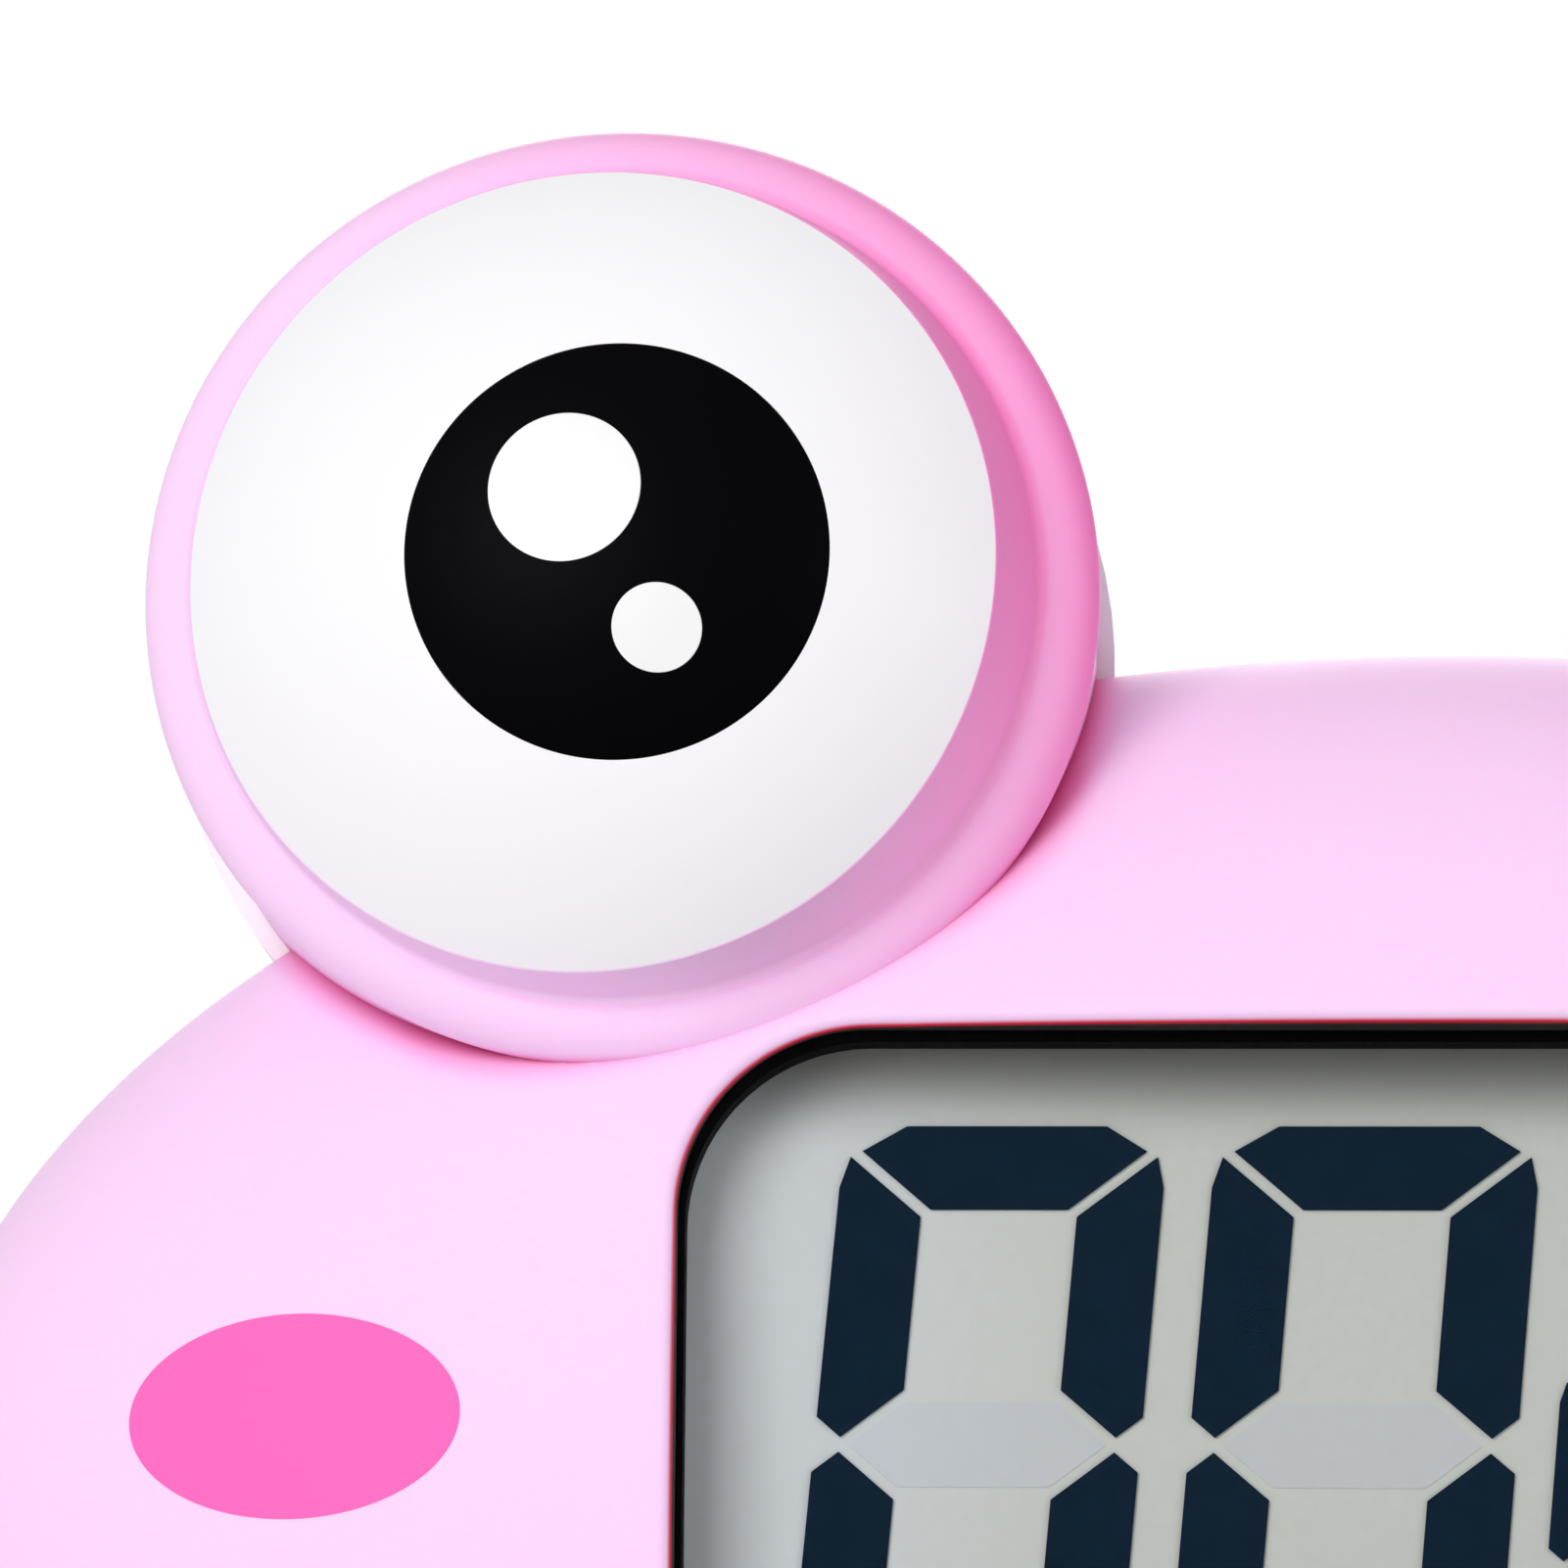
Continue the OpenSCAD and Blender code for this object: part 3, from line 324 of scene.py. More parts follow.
# Painted shade at the window: a red line on its lip and black on its wall below.
mark_colour(pink_resin, "window_edge_shade", EDGE_SHADE_RED)
mark_colour(pink_resin, "window_wall_shade", WALL_SHADE_BLACK)
white_resin = moulded("white_resin", (0.88, 0.86, 0.9), 0.4, 0.012, shine=0.3)
glow_inside(white_resin, 0.15, (1.0, 0.8, 0.9), 0.001)
key_resin = moulded("key_resin", (0.82, 0.8, 0.83), 0.35, 0.012)
print("case finishes:", pink_resin.name, white_resin.name, key_resin.name)

# %% [markdown]
# The eye's white is polished and a little lilac. Pupils, glints and cheeks are printed: the ink lies
# in a thin even film, glossy on the eye and satin on the cheek.

# %% Eye and cheek finishes
eye_white = moulded("eye_white", (0.9, 0.89, 0.92), 0.35, 0.008, shine=0.2)
pupil_ink = moulded("pupil_ink", (0.0008, 0.0008, 0.0015), 0.4, 0.2, shine=0.02)
glint_ink = moulded("glint_ink", (0.85, 0.85, 0.85), 0.3, 0.006)
cheek_ink = moulded("cheek_ink", (0.97, 0.15, 0.52), 0.5, 0.015, 400.0, shine=0.06)
print("inks:", pupil_ink.name, glint_ink.name, cheek_ink.name)

# %% [markdown]
# The display is a stack: a clear lens, a black gasket, and a grey-green panel under a polarising film that
# turns a little blue towards its left end, where it is also painted lighter against the shadow of the
# window's wall, and that darkens towards the top with a painted shadow. The lens is mostly see-through, so a
# low alpha is enough.

# %% Display finishes
PANEL_LEFT = -0.021
PANEL_RIGHT = -0.008
PANEL_TOP = 0.0325
PANEL_CLEAR = 0.0299
FILM_TOP_SHADOW = (0.2, 0.21, 0.195)
FILM_GRAIN = 2600.0
FILM_DARK = 0.93
FILM_LIGHT = 1.05
FILM_SHARE = 0.35
FILM_GLOSS = 0.05
LENS_TINT = (0.02, 0.02, 0.025, 1.0)
LENS_ALPHA = 0.03


def film(name, left, right, rough):
    """The panel's film: a tint from left to right, bluish and painted lighter at the left end against the
    wall's shadow, with a painted shadow towards the top and a fine grain.
    """
    material, tree, body = shader(name)
    place = tree.nodes.new("ShaderNodeTexCoord")
    split = tree.nodes.new("ShaderNodeSeparateXYZ")
    tree.links.new(place.outputs["Object"], split.inputs["Vector"])
    runs = []
    for way, first, last in (("X", PANEL_LEFT, PANEL_RIGHT), ("Z", PANEL_CLEAR, PANEL_TOP)):
        run = tree.nodes.new("ShaderNodeMapRange")
        run.interpolation_type = "SMOOTHSTEP"
        run.inputs["From Min"].default_value = first
        run.inputs["From Max"].default_value = last
        tree.links.new(split.outputs[way], run.inputs["Value"])
        runs.append(run.outputs["Result"])
    tint = mixed(tree, runs[0], left, right)
    fine = noise_of(tree, FILM_GRAIN, 4.0)
    grain = mixed(tree, fine.outputs["Fac"], tinted(left, FILM_DARK), tinted(right, FILM_LIGHT))
    share = tree.nodes.new("ShaderNodeMix")
    share.data_type = "RGBA"
    share.inputs["Factor"].default_value = FILM_SHARE
    tree.links.new(tint, share.inputs[6])
    tree.links.new(grain, share.inputs[7])
    tree.links.new(mixed(tree, runs[1], share.outputs[2], FILM_TOP_SHADOW), body.inputs["Base Color"])
    gloss = spread(tree, fine.outputs["Fac"], rough - FILM_GLOSS, rough + FILM_GLOSS)
    tree.links.new(gloss, body.inputs["Roughness"])
    return material


# Painted light and shade: the lighter left end offsets the wall's shadow, and the dark top colour is a
# painted shadow.
panel_film = film("panel_film", (0.65, 0.72, 0.78), (0.51, 0.53, 0.47), 0.5)
ghost_film = film("ghost_film", (0.61, 0.68, 0.74), (0.48, 0.51, 0.52), 0.5)
digit_ink = moulded("digit_ink", (0.003, 0.014, 0.03), 0.6, 0.25, 1500.0, shine=0.01)
gasket_black = moulded("gasket_black", (0.0015, 0.0012, 0.0015), 0.6, 0.2, shine=0.03)
clear_lens, lens_tree, lens_shader = shader("clear_lens")
lens_shader.inputs["Base Color"].default_value = LENS_TINT
lens_shader.inputs["Alpha"].default_value = LENS_ALPHA
scuff = noise_of(lens_tree, 700.0)
lens_tree.links.new(spread(lens_tree, scuff.outputs["Fac"], 0.04, 0.09), lens_shader.inputs["Roughness"])
print("display finishes:", panel_film.name, digit_ink.name, clear_lens.name)

# %% [markdown]
# The works inside get plain workshop finishes: rubber, solder mask, resin, fired chips, printed tin and
# plated steel. They show when the battery door is off.

# %% Finishes of the works
finish_of = {
    "pink_case": pink_resin,
    "white_case": white_resin,
    "eye_white": eye_white,
    "eye_black": pupil_ink,
    "glint_white": glint_ink,
    "cheek_pink": cheek_ink,
    "clear_lens": clear_lens,
    "black_gasket": gasket_black,
    "display_grey": panel_film,
    "display_ink": digit_ink,
    "key_white": key_resin,
    "frame_white": moulded("frame_white", (0.8, 0.8, 0.8), 0.55),
    "contact_rubber": moulded("contact_rubber", (0.7, 0.32, 0.38), 0.75, 0.1, 1800.0),
    "board_green": moulded("board_green", (0.02, 0.16, 0.06), 0.35, 0.12, 600.0),
    "resin_black": moulded("resin_black", (0.01, 0.01, 0.01), 0.25, 0.2),
    "part_brown": moulded("part_brown", (0.3, 0.2, 0.13), 0.5, 0.15, 900.0),
    "buzzer_black": moulded("buzzer_black", (0.012, 0.012, 0.013), 0.5, 0.2),
    "key_rubber": moulded("key_rubber", (0.55, 0.55, 0.57), 0.8, 0.04),
    "plunger_rubber": moulded("plunger_rubber", (0.03, 0.03, 0.032), 0.8, 0.1),
    "cell_jacket": moulded("cell_jacket", (0.5, 0.33, 0.1), 0.3, 0.05, 300.0, coat=0.4),
    "tinned_steel": metal("tinned_steel", (0.6, 0.61, 0.62), 0.32, 700.0),
    "screw_steel": metal("screw_steel", (0.5, 0.5, 0.51), 0.38, 900.0),
    "magnet_steel": metal("magnet_steel", (0.45, 0.45, 0.46), 0.42, 1800.0),
}
slot_of = {row["node"]: row["material_slot"] for row in frame["record"]["subparts"]}
for node, solid in frame["nodes"].items():
    solid.data.materials.clear()
    solid.data.materials.append(finish_of[slot_of[node]])
print("finished", len(slot_of), "nodes with", len(finish_of), "finishes")

# %% [markdown]
# ## The case front
# The front is a pillow: a turned profile with a flat middle and a long elliptic edge, stretched sideways.
# Its height over any point of the face is one formula, so the whole skin can be a ring grid
# that starts at the display window's wall, rolls over a small edge radius, runs out along the pillow to
# the outline and comes back inside the wall. That keeps every grid line along the window and the outline.

# %% Pillow and window
FRONT_DEPTH = 10.8
FRONT_FLAT = 7.0
WALL = 1.8
WINDOW_HALF_W = 19.5
WINDOW_HALF_H = 9.7
WINDOW_CORNER = 4.7
WINDOW_UP = 1.53
WINDOW_ROLL = 0.32
LENS_MARGIN = 1.2
lens_front = face_depth("display_lens", 0)


def pillow(x, y, inset=0.0):
    """Depth x sqrt(1 - share^2); share runs from 0 at the flat's edge to 1 at the outline."""
    reach = np.hypot(x * (HALF_H - inset) / (HALF_W - inset), y)
    share = np.clip((reach - FRONT_FLAT) / (HALF_H - inset - FRONT_FLAT), 0.0, 1.0)
    return (FRONT_DEPTH - inset) * np.sqrt(1.0 - share**2)


def rounded_frame(half_w, half_h, radius, corner, long, short):
    """Points round a rounded rectangle with their outward normals: four arcs joined by four edges."""
    points, normals = [], []
    for k, (sx, sy) in enumerate(((1, 1), (-1, 1), (-1, -1), (1, -1))):
        turn = np.radians(90 * k + np.linspace(0, 90, corner))
        way = np.stack([np.cos(turn), np.sin(turn)], 1)
        arc = np.array([sx * (half_w - radius), sy * (half_h - radius)]) + radius * way
        points.append(arc)
        normals.append(way)
        steps = long if k % 2 == 0 else short
        ahead = np.array([-way[-1][1], way[-1][0]])
        run = 2 * ((half_w if k % 2 == 0 else half_h) - radius)
        along = np.linspace(0, run, steps + 2)[1:-1]
        points.append(arc[-1] + along[:, None] * ahead)
        normals.append(np.repeat(way[-1:], steps, 0))
    return np.concatenate(points), np.concatenate(normals)


def outline_from(centre, through, half_w, half_h, floor):
    """Where rays from a centre meet an ellipse, or a level floor: a quadratic in the ray's length."""
    way = through - centre
    a = (way[:, 0] / half_w) ** 2 + (way[:, 1] / half_h) ** 2
    b = 2 * (centre[0] * way[:, 0] / half_w**2 + centre[1] * way[:, 1] / half_h**2)
    c = (centre[0] / half_w) ** 2 + (centre[1] / half_h) ** 2 - 1
    length = (-b + np.sqrt(b**2 - 4 * a * c)) / (2 * a)
    down = np.minimum(way[:, 1], -1e-9)
    length = np.minimum(length, np.where(way[:, 1] < 0, (floor - centre[1]) / down, np.inf))
    return centre + length[:, None] * way


print("pillow is", round(float(pillow(0, 0)), 2), "mm deep; the lens starts at", round(lens_front, 2))

# %% Case front skin
WALL_ROWS = 5
ROLL_ROWS = 8
SKIN_ROWS = 64
INNER_ROWS = 16
CORNER_POINTS = 36
LONG_POINTS = 84
SHORT_POINTS = 30
window_centre = np.array([0.0, WINDOW_UP])
edge, edge_normal = rounded_frame(
    WINDOW_HALF_W, WINDOW_HALF_H, WINDOW_CORNER, CORNER_POINTS, LONG_POINTS, SHORT_POINTS
)
edge = edge + window_centre
rolled = edge + WINDOW_ROLL * edge_normal
rim = outline_from(window_centre, edge, HALF_W, HALF_H, BASE_Y)
inner_rim = outline_from(window_centre, edge, HALF_W - WALL, HALF_H - WALL, BASE_Y + WALL)
pocket = edge + LENS_MARGIN * edge_normal
rolled_z = pillow(*rolled.T)


def ring(places, heights):
    """One ring of face points from its x, y places and its heights."""
    return np.column_stack([places, np.broadcast_to(heights, len(places))])


wall_rows = [
    ring(edge, lens_front + share * (rolled_z - WINDOW_ROLL - lens_front))
    for share in np.linspace(0, 1, WALL_ROWS)
]
roll_rows = [
    ring(edge + WINDOW_ROLL * (1 - math.cos(t)) * edge_normal, rolled_z - WINDOW_ROLL * (1 - math.sin(t)))
    for t in np.linspace(0, math.pi / 2, ROLL_ROWS + 1)[1:]
]
skin_rows = []
for share in np.sin(np.linspace(0, math.pi / 2, SKIN_ROWS + 1)[1:]):
    spots = rolled + share * (rim - rolled)
    skin_rows.append(ring(spots, pillow(*spots.T)))
inner_rows = []
for share in np.linspace(0, 1, INNER_ROWS):
    spots = inner_rim + share * (pocket - inner_rim)
    inner_rows.append(ring(spots, np.minimum(pillow(*spots.T, WALL), lens_front)))
inner_rows[-1][:, 2] = lens_front
rim_rows = [ring(rim, 0.0), ring(inner_rim, 0.0)]
front_rings = np.stack([*wall_rows, *roll_rows, *skin_rows, *rim_rows, *inner_rows])
front_mesh = rings_mesh("case_front", front_rings)
print("case front grid", front_rings.shape[:2])

# %% [markdown]
# ## Eye cups
# Each eye is a cup with a round bead along its front. Inside the bead rises a collar, and it leans
# outwards about a point on the cup's axis, so it stands tall towards the nose and almost sinks into the bead
# on the outer side. Cup, bead and collar are one closed profile that is carried round the eye. Only the
# line where collar and bead meet has to be searched for, and a bisection does that for all columns at once.

# %% Eye values
EYE_X = 21.12
EYE_UP = 22.44
EYE_LEAN = math.radians(7.0)
EYE_PIVOT = 6.5
EYE_R = 12.07
EYE_SIDE = 11.97
EYE_INNER = 10.37
EYE_HOLLOW = 8.04
BEAD_Z = 8.43
BEAD_R = 1.25
BEAD_RING = EYE_R - BEAD_R
COLLAR_TOP = 10.23
COLLAR_REACH = 4.94
COLLAR_FLARE = math.tan(math.radians(10.5))
BORE = 9.53
EYE_COLUMNS = 240
turns = np.linspace(0, 2 * math.pi, EYE_COLUMNS, endpoint=False)
spin = np.stack([np.cos(turns), np.sin(turns)], 1)


def leaned(side, radius, height):
    """Points at a radius and height along the leaning axis, in the upright frame: a turn and a shift."""
    c, s = math.cos(side * EYE_LEAN), math.sin(side * EYE_LEAN)
    x, y, z = radius * np.cos(turns), radius * np.sin(turns), height + 0 * turns
    return np.stack([c * x + s * z, y, EYE_PIVOT + c * z - s * x], -1)


def on_eye(side, points):
    """Moves points from a cup's upright frame to its place on the face."""
    return points + np.array([side * EYE_X, EYE_UP, 0.0])


def bead_top(radius):
    """Height of the bead's upper half over a radius: middle + sqrt(R^2 - (radius - ring)^2)."""
    return BEAD_Z + np.sqrt(np.maximum(BEAD_R**2 - (radius - BEAD_RING) ** 2, 0.0))


def collar_side(side, height):
    """The collar's flaring side at a height along the leaning axis."""
    return leaned(side, COLLAR_TOP + COLLAR_FLARE * (COLLAR_REACH - height), height)


print("bead ring", round(BEAD_RING, 2), "mm, crest at", round(BEAD_Z + BEAD_R, 2))

# %% Eye cups
FILLET = 0.22
TOP_ROLL = 0.06
TOP_ROWS = 4
CONE_ROWS = 14
FILLET_ROWS = 8
BEAD_ROWS = 44
SIDE_ROWS = 8
FOOT_LOWEST = 1.0
FOOT_HALVINGS = 40
PLUG_LOW = -5.0
PLUG_HIGH = 20.0
bead_first = -math.acos((EYE_SIDE - BEAD_RING) / BEAD_R)


def collar_foot(side):
    """Height along the leaning axis at which the collar's side reaches the bead, by bisection."""
    low, high = np.full(EYE_COLUMNS, FOOT_LOWEST), np.full(EYE_COLUMNS, COLLAR_REACH)
    for _ in range(FOOT_HALVINGS):
        middle = (low + high) / 2
        spot = collar_side(side, middle)
        above = spot[:, 2] > bead_top(np.hypot(spot[:, 0], spot[:, 1]))
        low, high = np.where(above, low, middle), np.where(above, middle, high)
    return high


def bead_point(way, turn):
    """A point of the bead in each column's way: ring + R cos(turn) outwards, middle + R sin(turn) up."""
    reach = BEAD_RING + BEAD_R * np.cos(turn)
    return np.column_stack([way * reach[:, None], BEAD_Z + BEAD_R * np.sin(turn)])


def upright(way, radius, height):
    """A level ring of a radius and a height in each column's direction."""
    return np.column_stack([way * radius, np.full(len(way), height)])


def cup_rings(side):
    """Bore, collar, a fillet as a quadratic Bezier curve, bead, side and the hollow back to the bore."""
    foot_height = collar_foot(side)
    foot = collar_side(side, foot_height)
    reach = np.hypot(foot[:, 0], foot[:, 1])
    way = foot[:, :2] / reach[:, None]
    foot_turn = np.arccos(np.clip((reach - BEAD_RING) / BEAD_R, -1, 1))
    start = collar_side(side, foot_height + FILLET)
    last_turn = foot_turn - FILLET / BEAD_R
    end = bead_point(way, last_turn)
    roll = [
        leaned(side, COLLAR_TOP - TOP_ROLL * (1 - math.sin(t)), COLLAR_REACH - TOP_ROLL * (1 - math.cos(t)))
        for t in np.linspace(0, math.pi / 2, TOP_ROWS)
    ]
    cone = [roll[-1] + share * (start - roll[-1]) for share in np.linspace(0, 1, CONE_ROWS)[1:]]
    bend = [
        (1 - t) ** 2 * start + 2 * t * (1 - t) * foot + t**2 * end
        for t in np.linspace(0, 1, FILLET_ROWS)[1:]
    ]
    bead = [
        bead_point(way, last_turn + t * (bead_first - last_turn))
        for t in np.linspace(0, 1, BEAD_ROWS)[1:]
    ]
    side_top = bead[-1][0, 2]
    wall = [upright(way, EYE_SIDE, height) for height in np.linspace(side_top, 0, SIDE_ROWS)[1:]]
    tilt = math.sin(side * EYE_LEAN) * BORE * np.cos(turns)
    bore_foot = leaned(side, BORE, (EYE_HOLLOW - EYE_PIVOT + tilt) / math.cos(EYE_LEAN))
    hollow = [upright(way, EYE_INNER, 0.0), upright(way, EYE_INNER, EYE_HOLLOW), bore_foot]
    return np.stack([leaned(side, BORE, COLLAR_REACH), *roll, *cone, *bend, *bead, *wall, *hollow])


def plug_rings():
    """A plug as wide as the middle of the cup's wall, closed at both ends by a point."""
    radius = (EYE_SIDE + EYE_INNER) / 2
    rows = ((0.0, PLUG_LOW), (radius, PLUG_LOW), (radius, PLUG_HIGH), (0.0, PLUG_HIGH))
    return np.stack([upright(spin, reach, height) for reach, height in rows])


cup_meshes = [rings_mesh("cup", on_eye(side, cup_rings(side))) for side in (-1, 1)]
plug_meshes = [rings_mesh("plug", on_eye(side, plug_rings()), loop=False) for side in (-1, 1)]
print("cups", [len(mesh.polygons) for mesh in cup_meshes])

# %% [markdown]
# Three pill-shaped holes let the buttons through. The eyes' plugs and these pills are cut out of the
# front, and the cups are then welded on, with Blender's exact boolean, so that the front
# stays one clean closed shell.

# %% Key holes and welding
KEY_PITCH = 12.5
KEY_Y = -13.6
KEY_HOLE_W = 10.0
KEY_HOLE_H = 6.0
PILL_POINTS = 96
PILL_LOW = -3.0
PILL_HIGH = 14.0


def pill_rings(column):
    """A pill's outline: two half circles; the prism is closed at both ends by a point."""
    turn = np.linspace(0, 2 * math.pi, PILL_POINTS, endpoint=False)
    side = np.where(np.cos(turn) >= 0, 1, -1) * (KEY_HOLE_W - KEY_HOLE_H) / 2
    outline = np.stack([side + KEY_HOLE_H / 2 * np.cos(turn), KEY_HOLE_H / 2 * np.sin(turn)], 1)
    rows = [(0.0, PILL_LOW), (1.0, PILL_LOW), (1.0, PILL_HIGH), (0.0, PILL_HIGH)]
    centre = np.array([column * KEY_PITCH, KEY_Y])
    return np.stack([ring(centre + share * outline, height) for share, height in rows])


def cut_with(mesh, tool, operation):
    """The mesh after one exact boolean with a tool mesh."""
    target = bpy.data.objects.new("target", mesh)
    helper = bpy.data.objects.new("helper", tool)
    for thing in (target, helper):
        bpy.context.scene.collection.objects.link(thing)
    step = target.modifiers.new("step", "BOOLEAN")
    step.solver = "EXACT"
    step.operation = operation
    step.object = helper
    seen = target.evaluated_get(bpy.context.evaluated_depsgraph_get())
    made = bpy.data.meshes.new_from_object(seen)
    for thing in (target, helper):
        bpy.data.objects.remove(thing)
    for old in (mesh, tool):
        bpy.data.meshes.remove(old)
    return made


pill_meshes = [rings_mesh("pill", pill_rings(column), loop=False) for column in (-1, 0, 1)]
front_mesh = cut_with(front_mesh, joined("cutters", plug_meshes + pill_meshes), "DIFFERENCE")
front_mesh = cut_with(front_mesh, joined("cups", cup_meshes), "UNION")
front_mesh.name = "case_front"
soften(front_mesh)
add_piece("case_front", front_mesh, pink_resin, stands_for=["front_shell"])

# %% [markdown]
# The welded front now gets its marks, which paint shade. A face belongs to a ring if its middle lies on the
# bead or inside it, and the ring's painted shade grows towards nose and brow. The window's edge is found by
# the distance to a rounded rectangle, which is a short formula; a painted red line on its lip and painted
# black on the wall below stand for shade there.

# %% Ring faces and window edge
LINE_FULL = 0.01
LINE_GONE = 0.09
WALL_FADE = 0.25
DEEP_TURN = math.radians(24)
ON_BEAD = 0.02
ON_WALL = 0.004
NOSE_START = 0.35
NOSE_POWER = 1.2
CREST_SHARE = 0.5
BEAD_GAIN = 0.45
BEAD_POWER = 1.5
COLLAR_GAIN = 0.3
COLLAR_FADE = 0.3
SIDE_TOP = BEAD_Z + 0.2
SIDE_FADE = 1.4
SIDE_LOSS = 0.8


def read_all(items, name, width):
    """All values of one property as a numpy table."""
    values = np.empty(len(items) * width, np.float32)
    items.foreach_get(name, values)
    return values.reshape(-1, width)


def to_face(room):
    """The face frame's x, y, z in mm for room points: the reverse of to_room."""
    return np.stack([room[:, 0] / MM, room[:, 2] / MM + BASE_Y, (parting_y - room[:, 1]) / MM], 1)


def in_ring(spots):
    """True inside the bead's crest, on its circle within 0.02 mm, or on the side wall below it."""
    reach = np.hypot(np.abs(spots[:, 0]) - EYE_X, spots[:, 1] - EYE_UP)
    off_bead = np.abs(np.hypot(reach - BEAD_RING, spots[:, 2] - BEAD_Z) - BEAD_R)
    off_side = np.abs(reach - EYE_SIDE)
    return (reach < BEAD_RING) | (off_bead < ON_BEAD) | ((off_side < ON_WALL) & (spots[:, 2] < BEAD_Z))


def ring_painted_shade(spots):
    """How much painted shade the ring gets: a share towards nose and brow, times one for collar, crest and
    side.
    """
    out, up = np.abs(spots[:, 0]) - EYE_X, spots[:, 1] - EYE_UP
    reach = np.maximum(np.hypot(out, up), 1e-6)
    towards = (up * math.sin(DEEP_TURN) - out * math.cos(DEEP_TURN)) / reach
    nose = np.clip((towards + NOSE_START) / (1 + NOSE_START), 0, 1) ** NOSE_POWER
    past = reach - BEAD_RING
    outside = CREST_SHARE + BEAD_GAIN * np.clip(past / BEAD_R, 0, 1) ** BEAD_POWER
    inside = CREST_SHARE + COLLAR_GAIN * np.clip(-past / COLLAR_FADE, 0, 1)
    low = np.clip((SIDE_TOP - spots[:, 2]) / SIDE_FADE, 0, 1)
    return nose * np.where(past > 0, outside, inside) * (1 - SIDE_LOSS * low**2 * (3 - 2 * low))


def window_distance(spots):
    """Distance outside a rounded rectangle: length of the positive part of |p| - half, less the radius."""
    half = np.array([WINDOW_HALF_W, WINDOW_HALF_H]) - WINDOW_CORNER
    past = np.abs(spots[:, :2] - window_centre) - half
    return np.hypot(*np.maximum(past, 0).T) + np.minimum(past.max(1), 0) - WINDOW_CORNER


face_spots = to_face(read_all(front_mesh.polygons, "center", 3))
front_mesh.materials.append(ring_resin)
front_mesh.polygons.foreach_set("material_index", in_ring(face_spots).astype(np.int32))
point_spots = to_face(read_all(front_mesh.vertices, "co", 3))
# Painted shade: a red line along the window's lip, fading out within LINE_GONE of the edge.
fade = np.clip((LINE_GONE - window_distance(point_spots)) / (LINE_GONE - LINE_FULL), 0, 1)
line = fade**2 * (3 - 2 * fade)
# Painted shade: the window's wall below the lip is turned black.
lip = pillow(*point_spots[:, :2].T) - WINDOW_ROLL
wall = (window_distance(point_spots) < ON_WALL) * np.clip((lip - point_spots[:, 2]) / WALL_FADE, 0, 1)
for name, values in (("window_edge_shade", line), ("window_wall_shade", wall), ("ring_painted_shade", ring_painted_shade(point_spots))):
    mark = front_mesh.attributes.new(name, "FLOAT", "POINT")
    mark.data.foreach_set("value", values.astype(np.float32))
print("ring faces", int(in_ring(face_spots).sum()), "edge points", int((line > 0.5).sum()))

# %% [markdown]
# ## Eyes
# The white is a shallow cap of a ball. The pupil lies in it as a black disc, a little towards the
# middle of the face, and two round white glints are printed on the pupil. Each is a ring grid
# about its own centre, and its height comes from the ball's formula. A painted texture could give the same
# picture, but an inlay of its own keeps the print's edge sharp from close by and in the exported mesh.

# %% Eye pieces
DOME_RIM = 10.18
DOME_RISE = 4.0
PLUG_R = 9.48
PLUG_BACK = COLLAR_REACH - 3.0
PUPIL_R = 5.17
PUPIL_DROP = 0.34
PUPIL_SHIFT = 1.28
PUPIL_T = 0.3
PUPIL_BED = 0.32
PUPIL_GAP = 0.02
GLINT_T = 0.05
INK = 0.012
SOFT_EDGE = 0.02
CAP_ROWS = 48
DISC_ROWS = 24
GLINTS = (((-1.15, 1.43), 1.9), ((1.13, -2.08), 1.09))
ball_r = (DOME_RIM**2 + DOME_RISE**2) / (2 * DOME_RISE)
ball_z = COLLAR_REACH + DOME_RISE - ball_r


def ball_height(spots, lift=0.0):
    """Ball centre + sqrt((radius + lift)^2 - x^2 - y^2)."""
    return ball_z + np.sqrt((ball_r + lift) ** 2 - (spots**2).sum(1))


def lean_rings(side, rings):
    """Leans rings, given along the dome's own axis, and moves them to their eye."""
    c, s = math.cos(side * EYE_LEAN), math.sin(side * EYE_LEAN)
    x, y, z = np.moveaxis(rings, -1, 0)
    return on_eye(side, np.stack([c * x + s * z, y, EYE_PIVOT + c * z - s * x], -1))


def disc_rings(centre, radius, lift, bed):
    """A printed disc on the ball: out from its centre, over a soft edge and back underneath."""
    top = [centre + share * (radius - SOFT_EDGE) * spin for share in np.linspace(0, 1, DISC_ROWS)]
    rings = [ring(spots, ball_height(spots, lift)) for spots in top]
    outer = centre + radius * spin
    rings.append(ring(outer, ball_height(outer, lift - SOFT_EDGE)))
    rings.append(ring(outer, ball_height(outer, -bed)))
    rings.append(ring(np.repeat(centre[None], len(spin), 0), ball_height(centre[None], -bed)))
    return np.stack(rings)


def dome_rings(centre):
    """The cap as rings about the pupil: its bed, then out to the rim, under the rim and down the plug."""
    bed_r = PUPIL_R + PUPIL_GAP
    rim_spots = outline_from(centre, centre + spin, DOME_RIM, DOME_RIM, -2 * DOME_RIM)
    bed = [ring(centre + share * bed_r * spin, 0.0) for share in (0.0, 1.0)]
    for row in bed:
        row[:, 2] = ball_height(row[:, :2], -PUPIL_BED)
    start = centre + bed_r * spin
    cap = [start + share * (rim_spots - start) for share in np.linspace(0, 1, CAP_ROWS)]
    plug = rim_spots * PLUG_R / DOME_RIM
    under = [ring(plug, COLLAR_REACH), ring(plug, PLUG_BACK), ring(0 * plug, PLUG_BACK)]
    return np.stack([*bed, *[ring(spots, ball_height(spots)) for spots in cap], *under])


